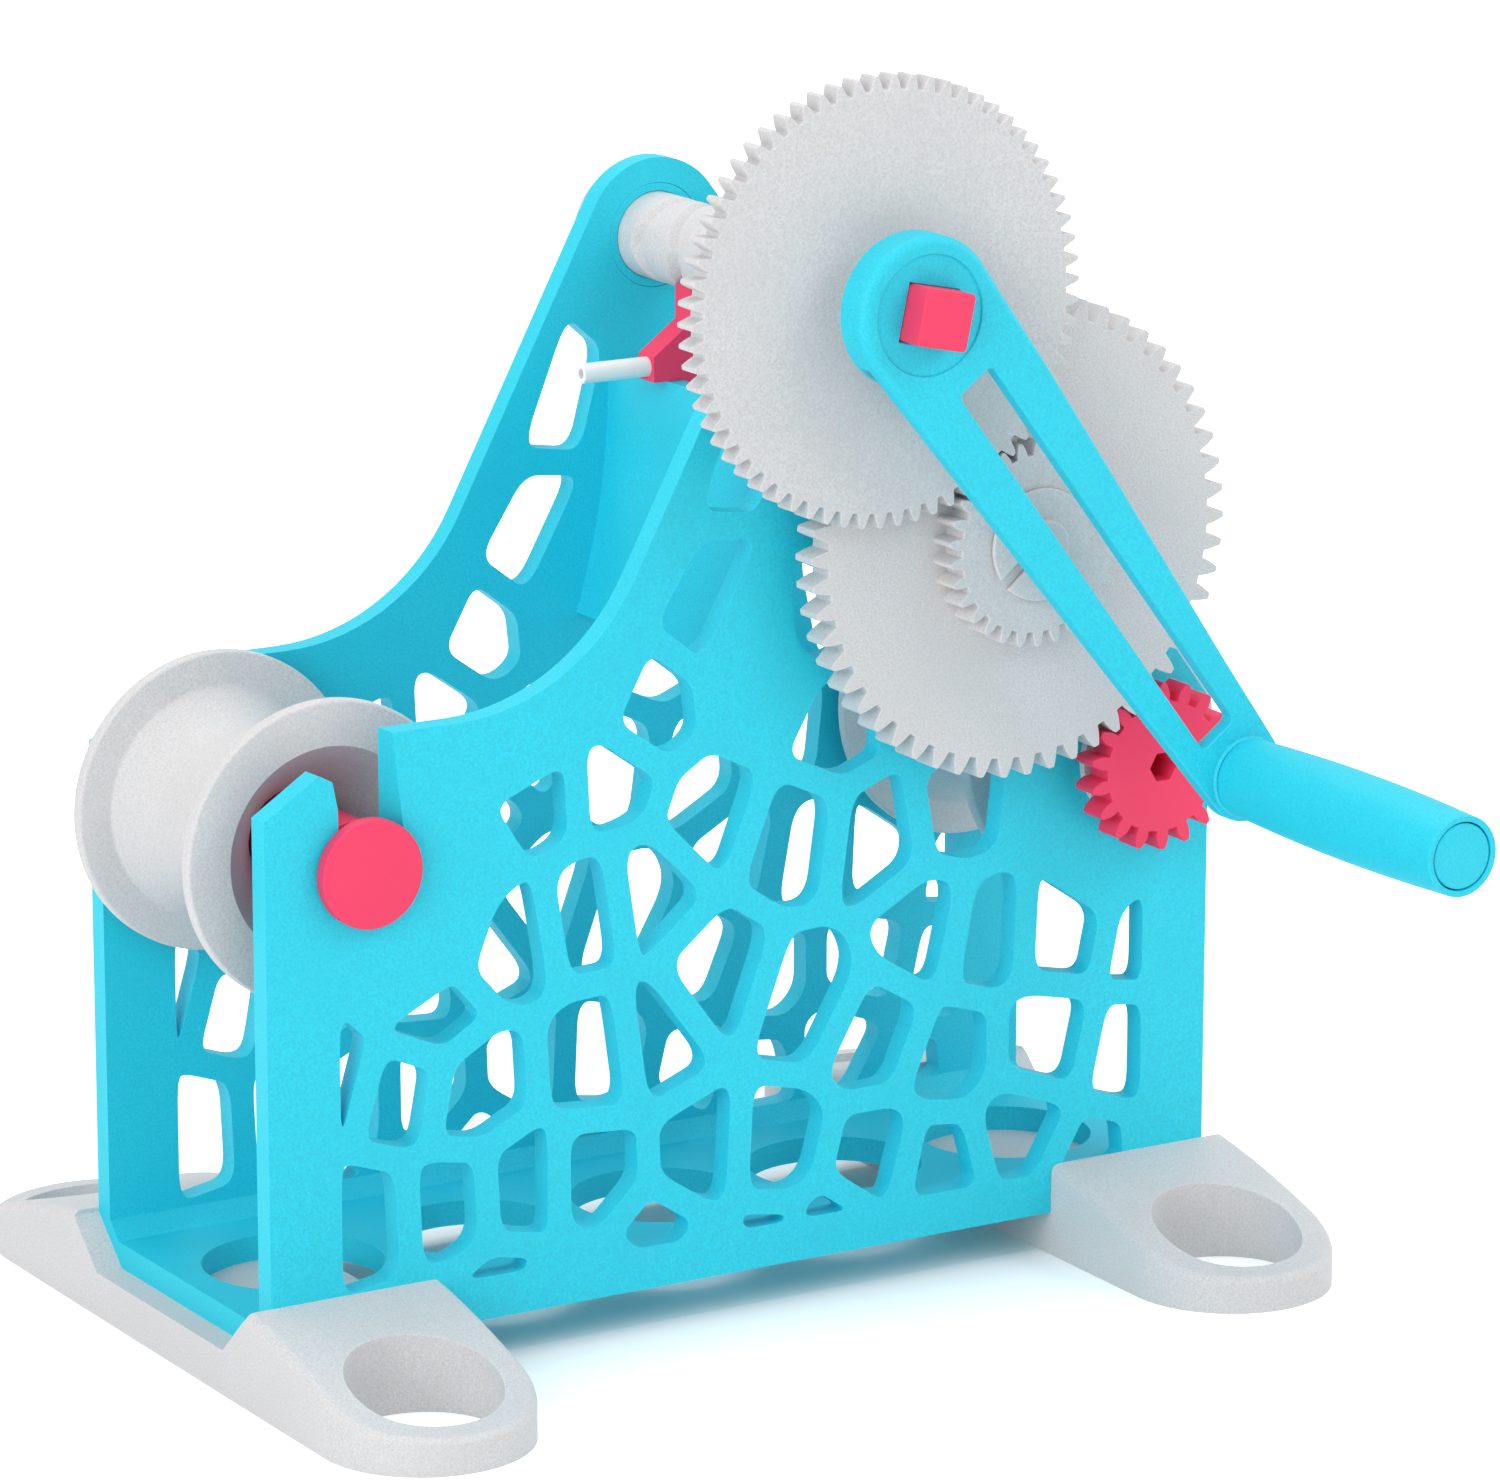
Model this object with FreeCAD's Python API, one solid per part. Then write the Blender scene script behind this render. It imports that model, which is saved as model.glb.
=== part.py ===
"""A hand-cranked winder that moves filament from a full spool to a smaller one.

The supply spool hangs on an axle in two open slots at the left.  The crank at the top turns the
take-up spool at the right through a train of gears, and a screw on the crank's axis carries a
guide that lays the filament evenly.

Millimetres.  +X runs from the supply spool to the take-up spool, +Y from the crank side to the
back, +Z up.  The origin is on the table, in the middle of the four foot holes.
"""

import FreeCAD
import Part
import math
import os

Vec = FreeCAD.Vector

# Frame
frame_length = 250.0
frame_width = 86.5
wall = 5.8
floor = 6.0
base_chamfer_across = 11.5
base_chamfer_up = 10.6
floor_fillet = 4.0
right_edge_height = 120.0
left_edge_height = 123.0
prong_peak = (13.4, 131.7)
prong_corner = (17.0, 130.0)
prong_shoulder_height = 123.5
shelf_height = 139.3
shelf_end = 48.0
swoop_radius = 51.7
head_radius = 18.3
floor_hole_radius = 21.0
floor_hole_count = 5
floor_hole_end = 28.0

# Axle places, from the left end and from the underside of the frame
supply_in = 24.9
take_up_in = 228.3
axle_height = 108.8
train_angle = 124.6

# Open slots for the supply axle
slot_width = 13.2
slot_clearance = 0.08
slot_chamfer_top = 0.5
slot_chamfer_low = 4.0

# Wall pattern
pattern_side = 18.0
pattern_bottom = 10.0
pattern_rim = 10.0
rib = 6.0
least_edge = 1.2
least_hole = 3.0
long_edge = 9.0
cell_reach = 60.0

# Cross wall that the guide runs on
cross_in = 133.6
cross_wall = 4.0
cross_top = 198.3
cross_bend_height = 195.0
cross_bend_radius = 180.0

# Feet
foot_length = 49.5
foot_overhang = 6.5
foot_sole = 10.5
foot_lip_upright = 1.2
foot_first_slope = 8.8
foot_crown_radius = 250.0
foot_blend_radius = 60.0
foot_ring_height = 8.5
foot_reach = 37.0
foot_hole_radius = 17.7
foot_edge_radius = 2.2
foot_fit = 0.1

# Gears
pressure_angle = 20.0
fine_module = 1.5
coarse_module = 2.0
crank_teeth = 66
idler_pinion_teeth = 30
idler_teeth = 54
take_up_teeth = 18
tooth_thinning = 0.16
root_depth = 1.25
crank_gear_thick = 5.8
idler_gear_thick = 7.3
gear_plane_gap = 1.4
idler_wall_gap = 6.5
take_up_gear_thick = 7.5
take_up_gear_proud = 13.0
crank_tip_angle = 1.0
idler_tip_angle = 6.0

# Fits, and how far a cutter reaches past what it cuts
running_fit = 0.06
seat_fit = 0.05
end_play = 0.3
past = 1.0

# Bushes
bush_seat_radius = 12.4
bush_flange_radius = 15.0
bush_flange = 2.0

# Crank
screw_radius = 10.2
screw_collar = 8.0
groove_width = 4.8
groove_depth = 2.8
groove_over = 1.5
groove_turns = 3.5
shaft_side = 13.0
shaft_corner = 1.0
shaft_turn = -12.0
shaft_proud = 45.3
shaft_inside = 12.0
shaft_hole_gap = 0.15
gear_boss_radius = 12.0
hub_radius = 17.8
hub_back = 29.3
arm_front = 38.5
arm_thick = 4.2
arm_angle = -53.0
arm_length = 145.4
arm_end_radius = 10.6
arm_slot_width = 10.4
arm_slot_start = 20.0
arm_slot_end = 131.8
arm_slot_corner = 1.5
dish_radius = 13.6
dish_depth = 0.5
screw_cap_radius = 14.0
screw_cap_thick = 6.0
screw_stub_radius = 5.0
screw_stub_length = 4.0

# Handle
handle_end = 121.0
handle_end_radius = 9.3
handle_mid_radius = 10.3
handle_edge = 1.2
handle_boss = 0.9
handle_boss_near = 9.8
handle_boss_far = 9.3
handle_pin_radius = 5.0
handle_cap_radius = 7.5
handle_cap_thick = 3.0
handle_head_radius = 8.5
handle_head_thick = 2.0
handle_stub_radius = 2.5
handle_stub_length = 1.8

# Idler
idler_pin_radius = 6.0
idler_pin_proud = 25.0
idler_pin_head_radius = 10.0
idler_pin_head = 3.0
idler_tip_bevel = 0.5
idler_groove_radius = 5.0
idler_spacer_radius = 11.0
clip_radius = 13.0
clip_thick = 1.2
clip_gap = 3.0
clip_angle = 220.0

# Spools
spool_flange_radius = 35.0
spool_flange = 3.6
spool_front_gap = 11.1
spool_back_gap = 6.0
spool_shoulder_radius = 27.0
spool_barrel_radius = 20.2
spool_shoulder_length = 11.0
spool_mouth_radius = 24.6
spool_mouth_depth = 18.0
spool_edge = 0.6

# Supply axle
axle_radius = 10.0
axle_head_radius = 12.4
axle_head = 3.6
axle_stub_radius = 4.0
axle_stub_length = 2.6

# Take-up arbor and pinion
journal_radius = 8.0
collar_radius = 12.0
key_width = 2.4
key_height = 1.6
key_length = 20.0
tang_flats = 12.0
tang_length = 12.0
drive_flats = 6.5
drive_turn = 30.0
drive_depth = 12.0
knob_radius = 15.0
knob_thick = 9.0
knob_flutes = 8
knob_flute_radius = 3.2

# Guide
guide_place = 56.5
guide_width = 7.0
guide_nose = 3.9
guide_nose_height = 6.0
guide_shoulder_height = 13.2
guide_saddle_half = 7.0
guide_tongue = 4.0
guide_tongue_drop = 9.0
guide_fit = 0.1
pawl_radius = 2.2
pawl_length = 8.0
tube_radius = 2.35
tube_bore_radius = 1.1
tube_length = 40.0
tube_proud = 17.5
tube_height = 3.3

left = -frame_length / 2
front = -frame_width / 2
back = frame_width / 2
front_inner = front + wall
back_inner = back - wall
base = foot_sole

fine_centres = fine_module * (crank_teeth + idler_pinion_teeth) / 2
coarse_centres = coarse_module * (idler_teeth + take_up_teeth) / 2


def step_along(point, distance, angle):
    """The place that lies a distance from a point, at an angle from +X towards +Z."""
    turn = math.radians(angle)
    return (point[0] + distance * math.cos(turn), point[1] + distance * math.sin(turn))


supply_axis = (left + supply_in, base + axle_height)
take_up_axis = (left + take_up_in, base + axle_height)
idler_axis = step_along(take_up_axis, coarse_centres, train_angle)
crank_axis = step_along(idler_axis, fine_centres, train_angle)
handle_axis = step_along(crank_axis, arm_length, arm_angle)

idler_back = front - idler_wall_gap
idler_step = idler_back - idler_gear_thick
crank_gear_back = idler_step - gear_plane_gap
crank_gear_front = crank_gear_back - crank_gear_thick
hub_back_y = front - hub_back
arm_front_y = front - arm_front
arm_back_y = arm_front_y + arm_thick
grip_start_y = arm_front_y - handle_boss - end_play
grip_end_y = front - handle_end
spool_front = front_inner + spool_front_gap
spool_width = back_inner - spool_back_gap - spool_front
guide_y = front + guide_place

# Open cells of the wall pattern: one seed for each hole, from the frame's left end and underside
hole_seeds = [
    (59, 5), (99, 11), (127, 3), (146, 4), (221, 9), (24, 26), (46, 27), (64, 28), (83, 28),
    (111, 29), (131, 28), (158, 21), (176, 17), (197, 23), (230, 36), (15, 64), (35, 58), (51, 55),
    (85, 57), (99, 59), (139, 62), (158, 51), (179, 42), (204, 42), (210, 70), (234, 65), (41, 72),
    (60, 88), (83, 92), (96, 94), (115, 71), (172, 74), (188, 71), (69, 120), (88, 121), (113, 111),
    (136, 102), (147, 126), (158, 99), (181, 103), (98, 135), (140, 153), (167, 149), (174, 130),
    (198, 135), (213, 131), (115, 157), (151, 177), (164, 172), (119, 195),
]

# Cells of the same pattern that stay solid, along the edges and round the slot
solid_seeds = [
    (30, -6), (46, -2), (74, 2), (87, 1), (114, 1), (240, 11), (34, 86), (45, 94), (221, 86),
    (47, 106), (209, 100), (64, 132), (80, 145), (126, 138), (124, 152), (89, 174), (109, 199),
    (146, 188), (155, 203), (162, 196), (190, 190), (141, 220),
]


def at(x, y, z):
    return Vec(x, y, z)


def on_wall(point, y=0.0):
    """A point of the XZ plane as a vector."""
    return Vec(point[0], y, point[1])


def on_end(point, side, x):
    """A point (distance from the middle plane, height) on one side of the middle, as a vector."""
    return Vec(x, side * point[0], point[1])


def local(x, z):
    """A place given from the frame's left end and underside."""
    return (left + x, base + z)


def disc(axis, radius, y0, y1):
    """A cylinder along +Y."""
    return Part.makeCylinder(radius, y1 - y0, on_wall(axis, y0), Vec(0, 1, 0))


def ring(axis, radius, bore, y0, y1):
    return disc(axis, radius, y0, y1).cut(disc(axis, bore, y0 - past, y1 + past))


def turned(axis, profile):
    """A solid turned about an axis along Y, from points (y, radius)."""
    points = [at(axis[0] + radius, y, axis[1]) for y, radius in profile]
    face = Part.Face(Part.makePolygon(points + points[:1]))
    return face.revolve(on_wall(axis), Vec(0, 1, 0), 360)


def plate(wire_or_wires, y0, y1):
    """A flat shape in the XZ plane, given thickness along Y."""
    wires = wire_or_wires if isinstance(wire_or_wires, list) else [wire_or_wires]
    return Part.Face(wires).extrude(Vec(0, y1 - y0, 0))


def polygon(points, y=0.0):
    corners = [on_wall(point, y) for point in points]
    return Part.makePolygon(corners + corners[:1])


def edges_along_y(solid):
    """The edges of a block that run from front to back."""
    return [e for e in solid.Edges if e.BoundBox.YLength > e.BoundBox.XLength + e.BoundBox.ZLength]


def regular_prism(axis, flats, sides, turn, y0, y1, corner=0.0):
    """A prism with an even number of flats, with rounded corners where asked."""
    radius = flats / 2 / math.cos(math.pi / sides)
    points = [step_along(axis, radius, turn + 360 * (i + 0.5) / sides) for i in range(sides)]
    solid = plate(polygon(points, y0), y0, y1)
    return solid.makeFillet(corner, edges_along_y(solid)) if corner > 0 else solid


def save(shape, name):
    """Writes one node, after a check that it is whole."""
    if not shape.isValid():
        print("NOT VALID", name)
    box = shape.BoundBox
    places = (box.XMin, box.XMax, box.YMin, box.YMax, box.ZMin, box.ZMax)
    spans = ", ".join(f"{place:.1f}" for place in places)
    print(f"{name}: {len(shape.Solids)} solid, {shape.Volume / 1000:.2f} cm3, {spans}")
    shape.exportStep(f"parts/{name}.step")


# Wall outline

def arc_edge(centre, radius, start, end, y):
    """An arc in the XZ plane from one angle to another, by way of the angle between them."""
    ends = [on_wall(step_along(centre, radius, a), y) for a in (start, (start + end) / 2, end)]
    return Part.Arc(*ends).toShape()


def long_slope():
    """The two ends of the straight edge from the round head down to the right end."""
    corner = (-left, base + right_edge_height)
    over = crank_axis[0] - corner[0]
    above = crank_axis[1] - corner[1]
    reach = math.degrees(math.asin(head_radius / math.hypot(over, above)))
    slope = math.degrees(math.atan2(above, over)) - reach
    return step_along(crank_axis, head_radius, slope - 90), corner


def wall_edges(y):
    """The outline of a side wall: prong, slot, shelf, swoop, round head and long slope."""
    shelf_z = base + shelf_height
    swoop_centre = (left + shelf_end, shelf_z + swoop_radius)
    across = crank_axis[0] - swoop_centre[0]
    up = crank_axis[1] - swoop_centre[1]
    centre_angle = math.degrees(math.atan2(up, across))
    cross_angle = math.degrees(math.asin((swoop_radius + head_radius) / math.hypot(across, up)))
    rise = centre_angle + cross_angle

    slot_left = supply_axis[0] - slot_width / 2
    slot_right = supply_axis[0] + slot_width / 2
    points = [
        (left, base),
        (left, base + left_edge_height),
        local(*prong_peak),
        local(*prong_corner),
        (slot_left, base + prong_shoulder_height),
        (slot_left, supply_axis[1]),
    ]
    edges = [Part.LineSegment(on_wall(a, y), on_wall(b, y)).toShape()
             for a, b in zip(points, points[1:])]
    edges.append(arc_edge(supply_axis, slot_width / 2, 180, 360, y))
    shelf = [(slot_right, supply_axis[1]), (slot_right, shelf_z), (left + shelf_end, shelf_z)]
    edges += [Part.LineSegment(on_wall(a, y), on_wall(b, y)).toShape()
              for a, b in zip(shelf, shelf[1:])]
    edges.append(arc_edge(swoop_centre, swoop_radius, -90, rise - 90, y))
    swoop_end = step_along(swoop_centre, swoop_radius, rise - 90)
    head_start = step_along(crank_axis, head_radius, rise + 90)
    head_end, corner = long_slope()
    slope = math.degrees(math.atan2(head_end[1] - corner[1], head_end[0] - corner[0]))
    edges.append(Part.LineSegment(on_wall(swoop_end, y), on_wall(head_start, y)).toShape())
    edges.append(arc_edge(crank_axis, head_radius, rise + 90, slope - 90, y))
    last = [head_end, corner, (-left, base), (left, base)]
    edges += [Part.LineSegment(on_wall(a, y), on_wall(b, y)).toShape()
              for a, b in zip(last, last[1:])]
    return edges


# Wall pattern

def clipped(points, place, normal):
    """The part of a convex outline that lies behind a line."""
    kept = []
    for i, a in enumerate(points):
        b = points[(i + 1) % len(points)]
        ahead_a = (a[0] - place[0]) * normal[0] + (a[1] - place[1]) * normal[1]
        ahead_b = (b[0] - place[0]) * normal[0] + (b[1] - place[1]) * normal[1]
        if ahead_a <= 0:
            kept.append(a)
        if min(ahead_a, ahead_b) < 0 < max(ahead_a, ahead_b):
            share = ahead_a / (ahead_a - ahead_b)
            kept.append((a[0] + share * (b[0] - a[0]), a[1] + share * (b[1] - a[1])))
    return kept


def cell(seed, others):
    """The ground nearer to one seed than to any other, less half a rib all round."""
    points = [(seed[0] - cell_reach, seed[1] - cell_reach), (seed[0] + cell_reach, seed[1] - cell_reach),
              (seed[0] + cell_reach, seed[1] + cell_reach), (seed[0] - cell_reach, seed[1] + cell_reach)]
    for other in others:
        if other == seed or not points:
            continue
        across = other[0] - seed[0]
        up = other[1] - seed[1]
        apart = math.hypot(across, up)
        normal = (across / apart, up / apart)
        middle = (seed[0] + normal[0] * (apart - rib) / 2, seed[1] + normal[1] * (apart - rib) / 2)
        points = clipped(points, middle, normal)
    return points


def without_short_edges(points):
    kept = []
    for point in points:
        if not kept or math.dist(point, kept[-1]) > least_edge:
            kept.append(point)
    while len(kept) > 1 and math.dist(kept[0], kept[-1]) <= least_edge:
        kept.pop()
    return kept


def rounded_wire(points, y):
    """A smooth closed outline that touches each side of a polygon and lies along the long ones."""
    poles = []
    for a, b in zip(points, points[1:] + points[:1]):
        poles.append(on_wall(a, y))
        if math.dist(a, b) > long_edge:
            poles.append(on_wall(((a[0] + b[0]) / 2, (a[1] + b[1]) / 2), y))
    curve = Part.BSplineCurve()
    curve.buildFromPolesMultsKnots(poles, [1] * (len(poles) + 1), list(range(len(poles) + 1)), True, 2)
    return Part.Wire(curve.toShape())


def pattern_holes(y, slope_start, slope_end):
    """Every hole of the pattern.  The rim of the wall limits a hole as a neighbour does."""
    places = [local(*seed) for seed in hole_seeds]
    everything = places + [local(*seed) for seed in solid_seeds]
    everything += [crank_axis, idler_axis, take_up_axis]
    low = local(pattern_side, pattern_bottom)
    run = math.dist(slope_start, slope_end)
    outward = ((slope_start[1] - slope_end[1]) / run, (slope_end[0] - slope_start[0]) / run)
    rim = (slope_end[0] - outward[0] * pattern_rim, slope_end[1] - outward[1] * pattern_rim)
    limits = [(low, (-1, 0)), (low, (0, -1)), ((-low[0], low[1]), (1, 0)), (rim, outward)]
    holes = []
    for place in places:
        points = cell(place, everything)
        for edge, normal in limits:
            points = clipped(points, edge, normal)
        points = without_short_edges(points)
        if len(points) < 3:
            continue
        face = Part.Face(rounded_wire(points, y))
        if min(face.BoundBox.XLength, face.BoundBox.ZLength) > least_hole:
            holes.append(face)
    return holes


def side_wall(y, seats):
    """One side wall, with its pattern and its round seats."""
    outline = Part.Wire(wall_edges(y))
    slope_start, slope_end = long_slope()
    face = Part.Face(outline).cut(pattern_holes(y, slope_start, slope_end))
    solid = face.extrude(Vec(0, wall, 0))
    return solid.cut([disc(axis, radius, y - past, y + wall + past) for axis, radius in seats])


def slot_chamfer(outer_y, inner_y):
    """The wedge cut from the right side of an axle slot, deep at the axle and shallow at the top."""
    edge = supply_axis[0] + slot_width / 2
    slices = []
    for z, across in ((supply_axis[1], slot_chamfer_low), (base + shelf_height, slot_chamfer_top)):
        corners = [at(edge, inner_y, z), at(edge + across, outer_y, z), at(edge - past, outer_y, z),
                   at(edge - past, inner_y, z)]
        slices.append(Part.makePolygon(corners + corners[:1]))
    return Part.makeLoft(slices, True, True)


def make_cross_wall():
    """The curved web between the side walls, whose top edge guides the follower."""
    centre = (left + cross_in - cross_bend_radius, base + cross_bend_height)
    low_angle = -math.degrees(math.asin((cross_bend_height - shelf_height) / cross_bend_radius))
    outer = cross_bend_radius + cross_wall
    top = base + cross_top
    edges = [
        arc_edge(centre, cross_bend_radius, low_angle, 0, front_inner),
        arc_edge(centre, outer, low_angle, 0, front_inner),
    ]
    face_low = step_along(centre, cross_bend_radius, low_angle)
    rear_low = step_along(centre, outer, low_angle)
    face_high = step_along(centre, cross_bend_radius, 0)
    rear_high = step_along(centre, outer, 0)
    straight = [(face_high, (face_high[0], top)), ((face_high[0], top), (rear_high[0], top)),
                ((rear_high[0], top), rear_high), (rear_low, face_low)]
    edges += [Part.LineSegment(on_wall(a, front_inner), on_wall(b, front_inner)).toShape()
              for a, b in straight]
    wire = Part.Wire(Part.__sortEdges__(edges))
    return plate(wire, front_inner, back_inner)


def make_front_wall():
    seats = [(crank_axis, bush_seat_radius), (take_up_axis, bush_seat_radius),
             (idler_axis, idler_pin_radius + seat_fit)]
    return side_wall(front, seats).cut(base_wedges() + [slot_chamfer(front, front_inner)])


def make_back_wall():
    seats = [(crank_axis, bush_seat_radius), (take_up_axis, bush_seat_radius)]
    return side_wall(back_inner, seats).cut(base_wedges() + [slot_chamfer(back, back_inner)])


def make_floor():
    """The frame's floor between the side walls, with a sloped fillet along each wall and a row of holes."""
    section = [
        (front_inner, base), (back_inner, base), (back_inner, base + floor + floor_fillet),
        (back_inner - floor_fillet, base + floor), (front_inner + floor_fillet, base + floor),
        (front_inner, base + floor + floor_fillet),
    ]
    corners = [at(left, y, z) for y, z in section]
    tray = Part.Face(Part.makePolygon(corners + corners[:1])).extrude(Vec(frame_length, 0, 0))
    pitch = (frame_length - 2 * floor_hole_end) / (floor_hole_count - 1)
    for i in range(floor_hole_count):
        centre = at(left + floor_hole_end + i * pitch, 0, base - past)
        tray = tray.cut(Part.makeCylinder(floor_hole_radius, floor + 2 * past, centre))
    return tray.cut(base_wedges())


def base_wedges():
    """What is cut from the frame's bottom edges where it sits in the feet."""
    seated = foot_length - foot_overhang + foot_fit
    return [base_wedge(side, start, seated + past)
            for side in (-1, 1) for start in (left - past, -left - seated)]


def base_wedge(side, start_x, length):
    """What is cut from the frame along one side of one foot."""
    outer = side * (back + past)
    inner = side * (back - base_chamfer_across)
    corners = [
        at(start_x, side * back, base + base_chamfer_up),
        at(start_x, inner, base),
        at(start_x, inner, base - past),
        at(start_x, outer, base - past),
        at(start_x, outer, base + base_chamfer_up),
    ]
    return Part.Face(Part.makePolygon(corners + corners[:1])).extrude(Vec(length, 0, 0))


# Feet

def make_foot(middle_x):
    """A cross bar with a channel for the frame and a lug with a large hole at each end.

    The top falls from the lip in a wide crown and runs out in a blend to the flat ring.
    """
    start_x = middle_x - foot_length / 2
    seat_top = (back, base + base_chamfer_up)
    lip = (back, seat_top[1] + foot_lip_upright)
    crown_centre = step_along(lip, foot_crown_radius, 270 - foot_first_slope)
    blend_z = foot_ring_height + foot_blend_radius
    centres_apart = foot_crown_radius + foot_blend_radius
    last_slope = math.degrees(math.acos((blend_z - crown_centre[1]) / centres_apart))
    blend_centre = step_along(crown_centre, centres_apart, 90 - last_slope)
    crown_middle = step_along(crown_centre, foot_crown_radius, 90 - (foot_first_slope + last_slope) / 2)
    crown_end = step_along(crown_centre, foot_crown_radius, 90 - last_slope)
    blend_middle = step_along(blend_centre, foot_blend_radius, 270 - last_slope / 2)
    blend_end = (blend_centre[0], foot_ring_height)
    plan_half = back + foot_reach
    tail = max(plan_half + foot_length / 2, blend_end[0]) + past

    channel = [(0, base), (back - base_chamfer_across, base), seat_top, lip]
    sole = [blend_end, (tail, foot_ring_height), (tail, 0), (0, 0)]
    curves = [(lip, crown_middle, crown_end), (crown_end, blend_middle, blend_end)]
    edges = []
    for side in (-1, 1):
        for points in (channel, sole):
            edges += [Part.LineSegment(on_end(a, side, start_x), on_end(b, side, start_x)).toShape()
                      for a, b in zip(points, points[1:])]
        edges += [Part.Arc(*[on_end(point, side, start_x) for point in points]).toShape()
                  for points in curves]
    bar = Part.Face(Part.Wire(Part.__sortEdges__(edges))).extrude(Vec(foot_length, 0, 0))

    tall = lip[1] + past
    plan = Part.makeBox(foot_length, 2 * plan_half, tall, at(start_x, -plan_half, 0))
    holes = []
    for lug_y in (-plan_half, plan_half):
        plan = plan.fuse(Part.makeCylinder(foot_length / 2, tall, at(middle_x, lug_y, 0)))
        holes.append(Part.makeCylinder(foot_hole_radius, tall + past, at(middle_x, lug_y, -past)))
    foot = bar.common(plan).removeSplitter()
    return foot.makeFillet(foot_edge_radius, upper_outer_edges(foot)).cut(holes)


def upper_outer_edges(foot):
    """The edges round the top of a foot, apart from those of its channel."""
    picked = []
    for edge in foot.Edges:
        box = edge.BoundBox
        if abs(box.Center.y) > back and box.ZMin > 0 and box.YLength > 0.5 * foot_edge_radius:
            picked.append(edge)
    return picked


# Gears

def involute(angle):
    return math.tan(angle) - angle


def gear_wire(axis, teeth, module, tip_angle, y):
    """The outline of a spur gear with one tooth's middle at tip_angle."""
    pitch_radius = module * teeth / 2
    base_radius = pitch_radius * math.cos(math.radians(pressure_angle))
    tip_radius = pitch_radius + module
    root_radius = pitch_radius - root_depth * module
    start_radius = max(base_radius, root_radius)
    pitch_half = math.pi / (2 * teeth) - tooth_thinning / (2 * pitch_radius)
    full = pitch_half + involute(math.radians(pressure_angle))

    def half_angle(radius):
        return math.degrees(full - involute(math.acos(min(1.0, base_radius / radius))))

    def point(radius, angle):
        return on_wall(step_along(axis, radius, angle), y)

    middle_radius = (start_radius + tip_radius) / 2
    step = 360.0 / teeth
    edges = []
    for i in range(teeth):
        centre = tip_angle + i * step
        low = half_angle(start_radius)
        mid = half_angle(middle_radius)
        high = half_angle(tip_radius)
        rising = [point(start_radius, centre - low), point(middle_radius, centre - mid),
                  point(tip_radius, centre - high)]
        falling = [point(tip_radius, centre + high), point(middle_radius, centre + mid),
                   point(start_radius, centre + low)]
        if start_radius > root_radius:
            edges.append(Part.LineSegment(point(root_radius, centre - low), rising[0]).toShape())
        edges.append(Part.Arc(*rising).toShape())
        edges.append(Part.Arc(rising[2], point(tip_radius, centre), falling[0]).toShape())
        edges.append(Part.Arc(*falling).toShape())
        if start_radius > root_radius:
            edges.append(Part.LineSegment(falling[2], point(root_radius, centre + low)).toShape())
        edges.append(Part.Arc(point(root_radius, centre + low), point(root_radius, centre + step / 2),
                              point(root_radius, centre + step - low)).toShape())
    return Part.Wire(edges)


def meshing_tip(driver_tip, driver_teeth, driven_teeth, direction):
    """The tooth angle of a driven gear whose valley meets the driver's tooth, seen along direction."""
    teeth_ahead = (driver_tip - direction) / (360.0 / driver_teeth)
    driven_step = 360.0 / driven_teeth
    return direction + 180 + driven_step / 2 - teeth_ahead * driven_step


crank_to_idler = train_angle + 180
idler_pinion_tip = meshing_tip(crank_tip_angle, crank_teeth, idler_pinion_teeth, crank_to_idler)
take_up_tip = meshing_tip(idler_tip_angle, idler_teeth, take_up_teeth, crank_to_idler)


def square_hole(y0, y1):
    return regular_prism(crank_axis, shaft_side + 2 * shaft_hole_gap, 4, shaft_turn, y0, y1)


def make_crank_gear():
    gear = plate(gear_wire(crank_axis, crank_teeth, fine_module, crank_tip_angle, crank_gear_front),
                 crank_gear_front, crank_gear_back)
    boss = disc(crank_axis, gear_boss_radius, hub_back_y, crank_gear_front)
    return gear.fuse(boss).cut(square_hole(hub_back_y - past, crank_gear_back + past)).removeSplitter()


def make_idler_gear():
    """Large gear and small gear in one piece, turning on the idler pin."""
    large = plate(gear_wire(idler_axis, idler_teeth, coarse_module, idler_tip_angle, idler_step),
                  idler_step, idler_back)
    small_wire = gear_wire(idler_axis, idler_pinion_teeth, fine_module, idler_pinion_tip, crank_gear_front)
    small = plate(small_wire, crank_gear_front, idler_step)
    bore = disc(idler_axis, idler_pin_radius + running_fit, crank_gear_front - past, idler_back + past)
    return large.fuse(small).cut(bore).removeSplitter()


def make_idler_pin():
    """Fixed pin with a head inside the wall and a groove for the clip."""
    groove_back = crank_gear_front - end_play
    groove_front = groove_back - clip_thick - 2 * seat_fit
    tip = front - idler_pin_proud
    head_back = front_inner + seat_fit + idler_pin_head
    profile = [
        (tip, 0), (tip, idler_pin_radius - idler_tip_bevel), (tip + idler_tip_bevel, idler_pin_radius),
        (groove_front, idler_pin_radius), (groove_front, idler_groove_radius),
        (groove_back, idler_groove_radius), (groove_back, idler_pin_radius),
        (front_inner + seat_fit, idler_pin_radius), (front_inner + seat_fit, idler_pin_head_radius),
        (head_back, idler_pin_head_radius), (head_back, 0),
    ]
    return turned(idler_axis, profile)


def make_idler_clip():
    clip_back = crank_gear_front - end_play - seat_fit
    clip = ring(idler_axis, clip_radius, idler_groove_radius + seat_fit, clip_back - clip_thick, clip_back)
    gap = Part.makeBox(clip_radius + past, clip_thick + 2 * past, clip_gap, at(0, 0, -clip_gap / 2))
    gap.rotate(Vec(0, 0, 0), Vec(0, 1, 0), -clip_angle)
    gap.translate(on_wall(idler_axis, clip_back - clip_thick - past))
    return clip.cut(gap)


def make_idler_spacer():
    return ring(idler_axis, idler_spacer_radius, idler_pin_radius + seat_fit,
                idler_back + end_play, front - seat_fit)


# Bushes

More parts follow.
